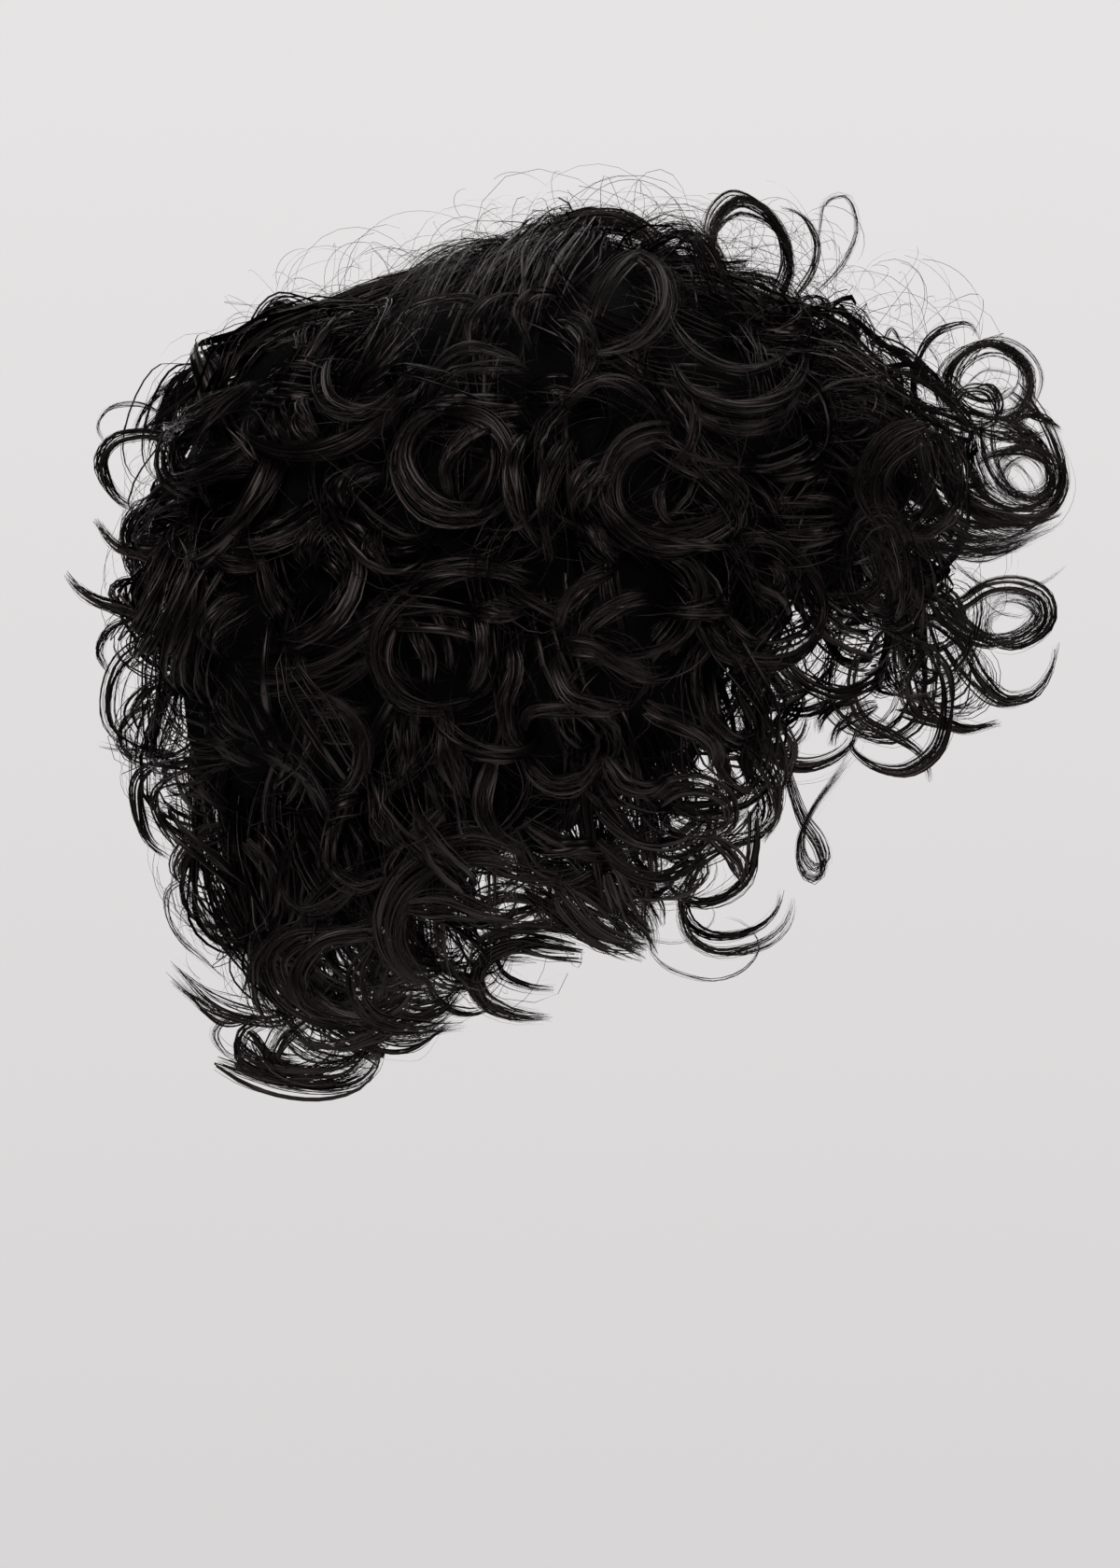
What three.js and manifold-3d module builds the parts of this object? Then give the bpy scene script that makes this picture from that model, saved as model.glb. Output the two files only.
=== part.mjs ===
// Short curly wig: a stretch cap that the head goes into, with six sewn zones of curled locks round it.
// Millimetres, +Z up. The wig faces +X and its right side is -Y. The origin is the crown point, on the
// inside of the cap, where the top of the head seats.
import * as THREE from "three";
import { mergeVertices } from "three/addons/utils/BufferGeometryUtils.js";
import Module from "manifold-3d";

const wasm = await Module();
wasm.setup();

// Head hollow: half sizes from the middle of the head
const HEAD_MIDDLE = new THREE.Vector3(0, 0, -95);
const HEAD = { breadth: 79, length: 96, above: 95, below: 150 };

// Reach of the hair from the same middle, and how square its outline is
const HAIR = { side: 112, front: 156, back: 150, above: 117, below: 162, fullness: 2.2 };

// Cap and backing
const CAP_WALL = 1.5;
const CAP_STEPS = { round: 24, down: 7 };
const SEAT_GAP = 2;
const HEAD_CLEARANCE = 0.8;
const BACKING_SHARE = 0.64;
const MOUND = { height: 3, round: 9, down: 10 };
const BACKING_STEP = { round: 12.5, down: 12.5 };
const ZONE_INSET_DEG = 0.2;

// Locks
const LOCK_CORNERS = 4;
const LOCK_FLATNESS = 1.3;
const LOCK_CLEARANCE = 0.35;
const RING_STEPS_PER_TURN = { full: 6, thin: 8 };
const THIN_BODY = 6.5;
const STEM_STEPS = 2;
const STEM_PULL = 0.4;
const SPIRAL_SHRINK = 0.24;
const TIP_SHARE = 0.4;
const ROOT_LIFT_DEG = 24;
const ROOT_LIFT_SHARE = 0.35;
const ROOT_DEPTH = 7;
const ROOT_SHARE = 0.45;
const ROOT_MARGIN_DEG = 5;

// Edges by azimuth from the front: polar angle of the cap's rim and of the hem of the backing
const EDGES = [
  { azimuth: 0, rim: 66, hem: 84 },
  { azimuth: 30, rim: 69, hem: 90 },
  { azimuth: 50, rim: 76, hem: 104 },
  { azimuth: 72, rim: 110, hem: 126 },
  { azimuth: 82, rim: 112, hem: 134 },
  { azimuth: 100, rim: 102, hem: 140 },
  { azimuth: 125, rim: 112, hem: 145 },
  { azimuth: 150, rim: 126, hem: 147 },
  { azimuth: 180, rim: 128, hem: 148 },
];

// Zones by azimuth and polar angle; a hem of null follows the backing's own hem
const ZONES = [
  { name: "fringe_curls", from: -50, to: 50, top: 40, hem: null },
  { name: "crown_curls", from: -180, to: 180, top: 0, hem: 40 },
  { name: "right_curls", from: 50, to: 130, top: 40, hem: null },
  { name: "left_curls", from: 230, to: 310, top: 40, hem: null },
  { name: "back_curls", from: 130, to: 230, top: 40, hem: 96 },
  { name: "nape_curls", from: 130, to: 230, top: 96, hem: null },
];

// Curls: middle of the ring (front, up, right), ring radius, lock body, then the turn of the ring plane
// about the upright and about its own level line, the angle where the stem joins it and the turns it makes
const CURL_COLUMNS = ["front", "up", "right", "radius", "body", "yaw", "pitch", "start", "turns"];
const CURLS = [
  [58, 13, 0, 14, 4.4, 0, 0, -40, 1.15],
  [6, 11, 18, 12, 10.4, 20, 15, 30, 1.05],
  [10, -8, 76, 14, 10.4, 10, -20, 60, -1.05],
  [-30, -8, 63, 14, 11.2, -30, 30, 80, 1.0],
  [50, -28, 88, 17, 11.2, 15, 0, 100, 1.1],
  [-70, -29, 77, 15, 10.4, -15, 0, 80, 1.1],
  [-102, -32, 50, 15, 10.4, -35, 30, 70, 1.0],
  [77, -20, 45, 15, 9.6, 30, 0, 140, -1.0],
  [130, -27, 0, 13, 4.1, 0, 0, 190, -1.15],
  [125, -59, 8, 22, 10.4, 0, 0, 120, 1.1],
  [141, -63, -6, 12, 4.7, 0, 0, 150, -1.1],
  [105, -64, 42, 15, 9.6, 15, 0, 110, 1.05],
  [84, -47, 71, 15, 9.6, 20, 15, 60, 1.0],
  [134, -105, 0, 12, 5.8, 0, 0, 200, -1.15],
  [137, -119, 9, 14, 4.1, 0, 0, 165, 0.62],
  [112, -113, 33, 14, 6.1, 15, 0, 100, 0.9],
  [93, -89, 70, 14, 9.6, 20, 15, 110, 1.0],
  [118, -129, -27, 14, 4.4, -15, 0, 150, 0.8],
  [74, -134, 69, 17, 5.8, 10, 0, 150, 0.95],
  [99, -144, 43, 15, 3.8, 10, 0, 175, 0.7],
  [73, -176, 53, 6, 2.7, 0, 0, 170, 0.62],
  [32, -63, 107, 19, 11.9, 5, 0, 90, 1.15],
  [58, -98, 104, 17, 10.4, 15, 0, 130, 1.15],
  [-37, -53, 104, 15, 11.2, -5, 10, 100, -1.1],
  [0, -36, 100, 16, 11.2, 0, -15, 40, -1.1],
  [-44, -114, 108, 14, 9.6, -5, 0, 100, 1.15],
  [-16, -86, 111, 14, 10.4, 0, 50, 60, 1.0],
  [-4, -116, 111, 13, 9.6, 0, 40, 60, 1.0],
  [31, -120, 107, 14, 9.6, 10, -20, 140, 1.05],
  [-14, -145, 108, 14, 9.6, 0, 10, 90, 1.1],
  [21, -147, 99, 14, 8.0, 10, 25, 120, 1.0],
  [-7, -177, 92, 15, 8.8, 0, 0, 120, 1.0],
  [44, -183, 64, 13, 3.8, 0, 0, 80, -0.78],
  [51, -194, 54, 16, 3.2, 0, 0, 185, 0.5],
  [10, -200, 67, 12, 9.6, 0, 20, 130, 0.55],
  [-22, -218, 56, 13, 4.4, 0, 0, 55, 0.75],
  [-47, -194, 77, 16, 9.6, -10, 0, 90, 0.85],
  [-81, -79, 89, 14, 10.4, -20, 60, 60, 1.0],
  [-84, -116, 86, 14, 10.4, -20, 75, 60, 1.0],
  [-78, -148, 88, 14, 10.4, -15, 0, 90, -1.05],
  [-85, -188, 62, 11, 8.0, -20, 0, 90, 1.1],
  [-112, -63, 51, 14, 9.6, -40, 0, 80, 1.05],
  [-119, -107, 44, 13, 8.8, -40, 20, 80, 1.05],
  [-115, -145, 43, 14, 8.8, -40, 0, 100, 1.05],
  [-105, -176, 42, 13, 8.0, -40, 20, 90, 1.0],
  [-125, -39, 11, 14, 8.0, -10, 0, 60, 0.7],
  [-144, -57, 0, 8, 3.5, 0, 0, 70, 1.1],
  [-142, -98, 4, 9, 3.8, 0, 0, 60, 1.1],
  [-152, -103, 0, 10, 3.2, 0, 0, -50, -0.38],
  [-143, -122, 2, 11, 4.7, 0, 0, 70, 1.0],
  [-134, -145, 7, 13, 4.7, -10, 0, 90, 0.7],
  [-128, -169, 8, 13, 4.7, 0, 0, 130, 0.4],
  [-119, -197, 8, 12, 5.8, -10, 0, 80, 0.7],
  [-66, -219, 50, 15, 8.8, -20, 0, 90, 1.0],
  [-94, -207, 32, 14, 8.0, -30, 0, 80, 1.05],
  [-117, -219, 8, 12, 3.2, 0, 0, -30, -0.42],
  [-99, -237, 9, 11, 4.7, -10, 0, 70, 1.0],
  [-77, -243, 10, 12, 4.7, -5, 0, 110, 1.0],
  [-47, -231, 41, 10, 4.4, -10, 0, 100, 0.9],
  [105, -62, -42, 15, 8.5, -15, 0, 110, 1.05],
  [114, -104, -38, 14, 7.5, -15, 0, 120, 1.0],
  [86, -48, -70, 15, 9.0, -25, -15, 70, -1.0],
  [94, -130, -58, 15, 6.0, -10, 0, 160, 0.8],
  [-30, 9, -24, 13, 9.5, 30, -20, 60, 1.0],
  [-58, -4, 22, 14, 9.5, -30, 20, 80, 1.0],
  [28, -2, -52, 14, 9.5, -25, -20, 110, -1.0],
  [-140, -82, -30, 13, 8.0, 20, 0, 80, 1.05],
  [-136, -140, -32, 13, 8.0, 25, 0, 90, 1.0],
  [-118, -192, -30, 13, 7.5, 25, 0, 90, 1.0],
];

// Left side: two in three of the curls this far out on the right have a partner across, shifted a little
const PARTNER = { beyond: 28, behind: 68, skip: 1, front: 7, up: 6, start: 35 };

const RAD = Math.PI / 180;
const LEVEL = new THREE.Vector3(0, 0, 1);

function direction(azimuth, polar) {
  const flat = Math.sin(polar * RAD);
  const front = flat * Math.cos(azimuth * RAD);
  const right = flat * Math.sin(azimuth * RAD);
  return new THREE.Vector3(front, -right, Math.cos(polar * RAD));
}

function anglesOf(dir) {
  return { azimuth: Math.atan2(-dir.y, dir.x) / RAD, polar: Math.acos(dir.z) / RAD };
}

function headReach(dir) {
  const tall = dir.z > 0 ? HEAD.above : HEAD.below;
  return 1 / Math.hypot(dir.x / HEAD.length, dir.y / HEAD.breadth, dir.z / tall);
}

function hairReach(dir) {
  const long = dir.x > 0 ? HAIR.front : HAIR.back;
  const tall = dir.z > 0 ? HAIR.above : HAIR.below;
  const shares = [dir.x / long, dir.y / HAIR.side, dir.z / tall];
  const sum = shares.reduce((total, share) => total + Math.abs(share) ** HAIR.fullness, 0);
  return sum ** (-1 / HAIR.fullness);
}

const capOuter = (dir) => headReach(dir) + CAP_WALL;
const backingInner = (dir) => capOuter(dir) + SEAT_GAP;
const backingOuter = (dir) => {
  const inner = backingInner(dir);
  const { azimuth, polar } = anglesOf(dir);
  const mound = Math.sin(azimuth * RAD * MOUND.round) * Math.sin(polar * RAD * MOUND.down);
  return inner + BACKING_SHARE * (hairReach(dir) - inner) + MOUND.height * mound;
};

function edgeAt(azimuth, edge) {
  const turn = Math.abs(((azimuth + 540) % 360) - 180);
  const next = Math.max(1, EDGES.findIndex((row) => row.azimuth >= turn));
  const [low, high] = [EDGES[next - 1], EDGES[next]];
  const share = (turn - low.azimuth) / (high.azimuth - low.azimuth);
  return THREE.MathUtils.lerp(low[edge], high[edge], share);
}

// Closed solid from points and triangles, turned to face outward
function solidFrom(points, triangles) {
  const loose = new THREE.BufferGeometry().setFromPoints(points);
  loose.setIndex(triangles.flat());
  const welded = mergeVertices(loose, 1e-3);
  const index = welded.index.array;
  const corner = [new THREE.Vector3(), new THREE.Vector3(), new THREE.Vector3()];
  const kept = [];
  let volume = 0;
  for (let at = 0; at < index.length; at += 3) {
    const [a, b, c] = [index[at], index[at + 1], index[at + 2]];
    if (a === b || b === c || c === a) continue;
    kept.push([a, b, c]);
    [a, b, c].forEach((vertex, k) => corner[k].fromBufferAttribute(welded.attributes.position, vertex));
    volume += corner[0].dot(corner[1].clone().cross(corner[2]));
  }
  const facing = volume > 0 ? kept : kept.map(([a, b, c]) => [a, c, b]);
  const mesh = new wasm.Mesh({
    numProp: 3,
    vertProperties: new Float32Array(welded.attributes.position.array),
    triVerts: new Uint32Array(facing.flat()),
  });
  return new wasm.Manifold(mesh);
}

// Shell between two reaches over a span of azimuth and polar angles
function shell({ from, to, top, hemAt, round, down, inner, outer }) {
  const whole = to - from >= 360;
  const columns = whole ? round : round + 1;
  const points = [];
  for (const reach of [inner, outer]) {
    for (let i = 0; i < columns; i += 1) {
      const azimuth = from + ((to - from) * i) / round;
      for (let j = 0; j <= down; j += 1) {
        const dir = direction(azimuth, THREE.MathUtils.lerp(top, hemAt(azimuth), j / down));
        points.push(dir.clone().multiplyScalar(reach(dir)).add(HEAD_MIDDLE));
      }
    }
  }
  const at = (side, i, j) => side * columns * (down + 1) + (i % columns) * (down + 1) + j;
  const triangles = [];
  const quad = (a, b, c, d) => triangles.push([a, b, c], [a, c, d]);
  for (let i = 0; i < round; i += 1) {
    for (let j = 0; j < down; j += 1) {
      quad(at(1, i, j), at(1, i + 1, j), at(1, i + 1, j + 1), at(1, i, j + 1));
      quad(at(0, i, j + 1), at(0, i + 1, j + 1), at(0, i + 1, j), at(0, i, j));
    }
    quad(at(1, i, down), at(1, i + 1, down), at(0, i + 1, down), at(0, i, down));
    if (top > 0) quad(at(0, i, 0), at(0, i + 1, 0), at(1, i + 1, 0), at(1, i, 0));
  }
  for (let j = 0; j < down && !whole; j += 1) {
    quad(at(0, 0, j), at(1, 0, j), at(1, 0, j + 1), at(0, 0, j + 1));
    quad(at(0, round, j + 1), at(1, round, j + 1), at(1, round, j), at(0, round, j));
  }
  return solidFrom(points, triangles);
}

// Tube with a lens-shaped section along a path; `across` is its wide way at the step called `level`
function tube(path, level, across, halves) {
  const sides = path.map((point, step) => {
    const before = path[Math.max(step - 1, 0)];
    const after = path[Math.min(step + 1, path.length - 1)];
    return { along: after.clone().sub(before).normalize(), wide: null };
  });
  const settle = (step, from) => {
    const { along } = sides[step];
    sides[step].wide = from.clone().addScaledVector(along, -from.dot(along)).normalize();
  };
  settle(level, across);
  for (let step = level + 1; step < path.length; step += 1) settle(step, sides[step - 1].wide);
  for (let step = level - 1; step >= 0; step -= 1) settle(step, sides[step + 1].wide);

  const points = [];
  const triangles = [];
  path.forEach((point, step) => {
    const { along, wide } = sides[step];
    const thick = along.clone().cross(wide);
    for (let corner = 0; corner < LOCK_CORNERS; corner += 1) {
      const angle = (corner / LOCK_CORNERS) * 2 * Math.PI;
      const spot = point.clone().addScaledVector(wide, Math.cos(angle) * halves[step] * LOCK_FLATNESS);
      points.push(spot.addScaledVector(thick, Math.sin(angle) * halves[step]));
    }
  });
  const last = (path.length - 1) * LOCK_CORNERS;
  for (let step = 0; step < path.length - 1; step += 1) {
    for (let corner = 0; corner < LOCK_CORNERS; corner += 1) {
      const a = step * LOCK_CORNERS + corner;
      const b = step * LOCK_CORNERS + ((corner + 1) % LOCK_CORNERS);
      triangles.push([a, b, b + LOCK_CORNERS], [a, b + LOCK_CORNERS, a + LOCK_CORNERS]);
    }
  }
  for (let corner = 1; corner < LOCK_CORNERS - 1; corner += 1) {
    triangles.push([0, corner + 1, corner], [last, last + corner, last + corner + 1]);
  }
  return solidFrom(points, triangles);
}

// Root of a lock in its own zone's backing, higher on the head than the curl
function rootOf(middle, zone) {
  const { azimuth, polar } = anglesOf(middle.clone().sub(HEAD_MIDDLE).normalize());
  const turn = azimuth < zone.from ? azimuth + 360 : azimuth;
  const round = THREE.MathUtils.clamp(turn, zone.from + ROOT_MARGIN_DEG, zone.to - ROOT_MARGIN_DEG);
  const highest = zone.top + ROOT_MARGIN_DEG;
  const lowest = Math.min(edgeAt(round, "rim"), zone.hem ?? 180) - ROOT_MARGIN_DEG;
  const lift = Math.min(ROOT_LIFT_DEG, polar * ROOT_LIFT_SHARE);
  const out = direction(round, THREE.MathUtils.clamp(polar - lift, highest, lowest));
  const spot = out.clone().multiplyScalar(backingInner(out) + ROOT_DEPTH).add(HEAD_MIDDLE);
  return { spot, out };
}

// One lock: a stem out of the backing, then a ring that winds in and drifts outward along its own axis
function lock(curl, grow) {
  const middle = new THREE.Vector3(curl.front, -curl.right, curl.up);
  const yaw = curl.yaw * RAD;
  const pitch = curl.pitch * RAD;
  const ahead = new THREE.Vector3(Math.cos(yaw), -Math.sin(yaw), 0);
  const aside = ahead.clone().cross(LEVEL);
  const rise = LEVEL.clone().multiplyScalar(Math.cos(pitch)).addScaledVector(aside, Math.sin(pitch));
  const axis = ahead.clone().cross(rise);
  const drift = curl.body * (axis.dot(middle.clone().sub(HEAD_MIDDLE)) < 0 ? -1 : 1);
  const onRing = (angle, radius) => {
    const spot = middle.clone().addScaledVector(ahead, radius * Math.cos(angle));
    return spot.addScaledVector(rise, radius * Math.sin(angle));
  };

  const start = curl.start * RAD;
  const entry = ahead.clone().multiplyScalar(-Math.sin(start)).addScaledVector(rise, Math.cos(start));
  entry.multiplyScalar(Math.sign(curl.turns));
  const root = rootOf(middle, curl.zone);
  const gate = onRing(start, curl.radius);
  const pull = STEM_PULL * root.spot.distanceTo(gate);
  const stem = new THREE.CubicBezierCurve3(
    root.spot,
    root.spot.clone().addScaledVector(root.out, pull),
    gate.clone().addScaledVector(entry, -pull),
    gate,
  ).getPoints(STEM_STEPS);

  const path = stem.slice(0, -1);
  const halves = path.map((_, step) => {
    const share = THREE.MathUtils.lerp(ROOT_SHARE, 1, step / (stem.length - 1));
    return (curl.body / 2) * share + grow;
  });
  const stepsPerTurn = curl.body < THIN_BODY ? RING_STEPS_PER_TURN.thin : RING_STEPS_PER_TURN.full;
  const ringSteps = Math.max(3, Math.round(stepsPerTurn * Math.abs(curl.turns)));
  for (let step = 0; step <= ringSteps; step += 1) {
    const share = step / ringSteps;
    const turned = share * Math.abs(curl.turns);
    const spot = onRing(start + share * curl.turns * 2 * Math.PI, curl.radius * (1 - SPIRAL_SHRINK * turned));
    path.push(spot.addScaledVector(axis, drift * turned));
    halves.push((curl.body / 2) * THREE.MathUtils.lerp(1, TIP_SHARE, share * share) + grow);
  }
  return tube(path, stem.length - 1, axis, halves);
}

function zoneOf(curl) {
  const middle = new THREE.Vector3(curl.front, -curl.right, curl.up).sub(HEAD_MIDDLE).normalize();
  const { azimuth, polar } = anglesOf(middle);
  return ZONES.find(({ from, to, top, hem }) => {
    const round = [azimuth, azimuth + 360].some((turn) => turn >= from && turn <= to);
    return round && polar >= top && polar < (hem ?? 180);
  });
}

const rightCurls = CURLS.map((row) => Object.fromEntries(CURL_COLUMNS.map((name, k) => [name, row[k]])));
const leftCurls = rightCurls
  .filter((curl) => curl.right > PARTNER.beyond && curl.front < PARTNER.behind)
  .filter((curl, place) => place % 3 !== PARTNER.skip)
  .map((curl, place) => ({
    ...curl,
    front: curl.front + PARTNER.front * Math.sin(place * 2.4),
    up: curl.up + PARTNER.up * Math.cos(place * 1.7),
    right: -curl.right,
    yaw: -curl.yaw,
    pitch: -curl.pitch,
    start: curl.start + PARTNER.start * Math.sin(place * 1.3),
  }));
const curls = [...rightCurls, ...leftCurls].map((curl) => ({ ...curl, zone: zoneOf(curl) }));

const joined = (solids) => solids.reduce((sum, solid) => sum.add(solid));
const biggest = (solid) => solid.decompose().sort((a, b) => b.volume() - a.volume())[0];

const headSpace = shell({
  from: 0, to: 360, top: 0, hemAt: () => 178, round: 40, down: 20,
  inner: () => 1, outer: (dir) => capOuter(dir) + HEAD_CLEARANCE,
});

const cap = shell({
  from: 0, to: 360, top: 0, hemAt: (azimuth) => edgeAt(azimuth, "rim"),
  round: CAP_STEPS.round, down: CAP_STEPS.down, inner: headReach, outer: capOuter,
});

const zones = ZONES.map((zone) => {
  const whole = zone.to - zone.from >= 360;
  const inset = whole ? 0 : ZONE_INSET_DEG;
  const hemAt = (azimuth) => (zone.hem ? zone.hem - ZONE_INSET_DEG : edgeAt(azimuth, "hem"));
  const middle = (zone.from + zone.to) / 2;
  const own = curls.filter((curl) => curl.zone === zone);
  return {
    name: zone.name,
    backing: shell({
      from: zone.from + inset, to: zone.to - inset, top: zone.top && zone.top + ZONE_INSET_DEG, hemAt,
      round: Math.ceil((zone.to - zone.from) / BACKING_STEP.round),
      down: Math.ceil((hemAt(middle) - zone.top) / BACKING_STEP.down),
      inner: backingInner, outer: backingOuter,
    }),
    locks: joined(own.map((curl) => lock(curl, 0))),
    room: joined(own.map((curl) => lock(curl, LOCK_CLEARANCE))),
  };
});

// Each zone's backing gives room to every other zone's locks; its own locks give room to the zones before
const solids = zones.map((zone, place) => {
  const others = joined(zones.filter((other) => other !== zone).map((other) => other.room));
  const backing = zone.backing.subtract(others);
  const locks = zone.locks.subtract(joined([headSpace, ...zones.slice(0, place).map((other) => other.room)]));
  return { name: zone.name, solid: biggest(backing.add(locks)) };
});

function meshOf(name, solid, color, roughness) {
  const { vertProperties, triVerts } = solid.getMesh();
  const geometry = new THREE.BufferGeometry();
  geometry.setAttribute("position", new THREE.BufferAttribute(new Float32Array(vertProperties), 3));
  geometry.setIndex(new THREE.BufferAttribute(new Uint32Array(triVerts), 1));
  geometry.computeVertexNormals();
  const mesh = new THREE.Mesh(geometry, new THREE.MeshStandardMaterial({ color, roughness }));
  mesh.name = name;
  return mesh;
}

const wig = new THREE.Group();
wig.name = "curly_wig";
wig.add(meshOf("wig_cap", cap, 0x1b1918, 0.9));
solids.forEach(({ name, solid }) => wig.add(meshOf(name, solid, 0x141112, 0.45)));

export default wig;
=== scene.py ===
"""Looks of a short curly wig: fibre curls in six sewn zones over a stretch cap.

Millimetres while shapes are worked out, metres once they are meshes. The wig faces +X, its right
side is -Y, and the origin is the crown point on the inside of the cap. Azimuths are degrees from the
front towards the right side, and polar angles are degrees from straight up.
"""

import logging
from dataclasses import dataclass
from enum import Enum
from typing import NamedTuple, Optional, Protocol, Sequence, TypeVar

import bpy
import numpy as np
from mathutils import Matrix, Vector


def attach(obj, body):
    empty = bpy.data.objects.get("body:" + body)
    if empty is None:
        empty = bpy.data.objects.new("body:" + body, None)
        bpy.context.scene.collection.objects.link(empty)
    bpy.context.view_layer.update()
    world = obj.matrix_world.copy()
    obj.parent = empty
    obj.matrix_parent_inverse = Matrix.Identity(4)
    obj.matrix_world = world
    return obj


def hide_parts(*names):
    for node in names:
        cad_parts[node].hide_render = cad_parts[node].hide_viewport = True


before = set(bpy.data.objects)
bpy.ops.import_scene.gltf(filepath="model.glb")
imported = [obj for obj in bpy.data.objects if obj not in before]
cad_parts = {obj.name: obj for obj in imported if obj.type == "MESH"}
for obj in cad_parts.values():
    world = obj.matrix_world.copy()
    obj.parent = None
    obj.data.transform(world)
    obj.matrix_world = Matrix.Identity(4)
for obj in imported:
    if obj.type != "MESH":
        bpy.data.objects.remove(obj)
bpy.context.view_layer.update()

LOG = logging.getLogger("wig")
Array = np.ndarray
Random = np.random.Generator
Pair = tuple[float, float]
Triple = tuple[float, float, float]
MM = 0.001
UP = np.array([0.0, 0.0, 1.0])
SEED = 20
TINY = 1e-9
# Places on the middle line of each lock
KNOTS = 56
# Widths along a strip, as shares of its own width
TAPER_PLACES = (0, 0.15, 0.65, 1)
TAPER_WIDTHS = (0.5, 1, 1, 0.15)
# Tones run from 0 to 1, and the strips of a lock keep near to a tone of its own
MIDDLE_TONE = 0.5
LOCK_TONE = 0.18
STRIP_TONE = 0.5
# Waves of a single strip along its length
WOBBLE_PACE = (0.6, 2.2)


class Side(Enum):
    """The wig's two sides, each with its sense along the way to the right."""

    RIGHT = 1
    LEFT = -1


class Edge(Enum):
    """Lower edges: of the cap, of the matted layer and of the lowest curls."""

    RIM = "rim"
    HEM = "hem"
    HANG = "hang"


class Slot(Enum):
    """Material slots of the pieces."""

    HAIR = "hair"
    CAP_MESH = "cap_mesh"


class Placed(Protocol):
    """Anything with a place in the hair."""

    def place(self) -> Array:
        """The place, in millimetres."""


Item = TypeVar("Item", bound=Placed)


class CurlRow(NamedTuple):
    """One curl: middle of its ring, ring radius, lock body, turn of the ring plane, stem angle, turns."""

    front: float
    up: float
    right: float
    radius: float
    body: float
    yaw: float
    pitch: float
    start: float
    turns: float

    def place(self) -> Array:
        """Middle of the ring."""
        return np.array([self.front, -self.right, self.up])


# Curls that give the hair its body, in millimetres and degrees
CURLS = tuple(
    CurlRow(*row)
    for row in (
        (105, -64, 42, 15, 7.1, 15, 0, 110, 1.05),
        (84, -47, 71, 15, 7.1, 20, 15, 60, 1.0),
        (93, -89, 70, 14, 7.1, 20, 15, 110, 1.0),
        (112, -108, 30, 15, 5.6, 40, 0, 100, 0.9),
        (110, -118, 14, 14, 5.3, 30, 0, 110, 0.85),
        (116, -122, -27, 14, 4.7, -40, 0, 150, 0.8),
        (77, -26, 45, 14, 7.1, 30, 0, 140, -0.8),
        (35, -8, 51, 14, 7.1, 25, 20, 120, -0.75),
        (6, -2, 14, 12, 7.7, 20, 15, 30, 1.05),
        (-88, -214, 30, 15, 7.4, -20, 0, 150, 0.6),
        (-64, -205, 54, 16, 7.4, -20, 0, 120, 0.7),
        (-30, -198, 66, 15, 7.1, -5, 15, 110, 0.65),
        (26, -180, 72, 13, 7.1, 10, 0, 100, 0.7),
        (105, -62, -42, 15, 7.1, -15, 0, 110, 1.05),
        (114, -104, -38, 14, 6.2, -15, 0, 120, 1.0),
        (86, -48, -70, 15, 7.1, -25, -15, 70, -1.0),
        (94, -126, -58, 15, 5.0, -10, 0, 160, 0.8),
        (-30, -6, -24, 13, 7.1, 30, -20, 60, 1.0),
        (28, -6, -52, 14, 7.1, -25, -20, 110, -1.0),
        (-134, -82, -30, 13, 6.2, 20, 0, 80, 1.05),
        (-132, -140, -32, 13, 6.2, 25, 0, 90, 1.0),
        (-114, -192, -30, 13, 5.8, 25, 0, 90, 1.0),
    )
)


class Tress(NamedTuple):
    """One lock drawn as it is seen from the side: its body and a line of places ahead and up.

    It lies on the hair, or from one distance out to another where right is given. A loose lock is
    wound of so many thin strands.
    """

    body: float
    line: tuple[Pair, ...]
    right: Optional[Pair] = None
    loose: int = 0
    side: Side = Side.RIGHT


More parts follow.
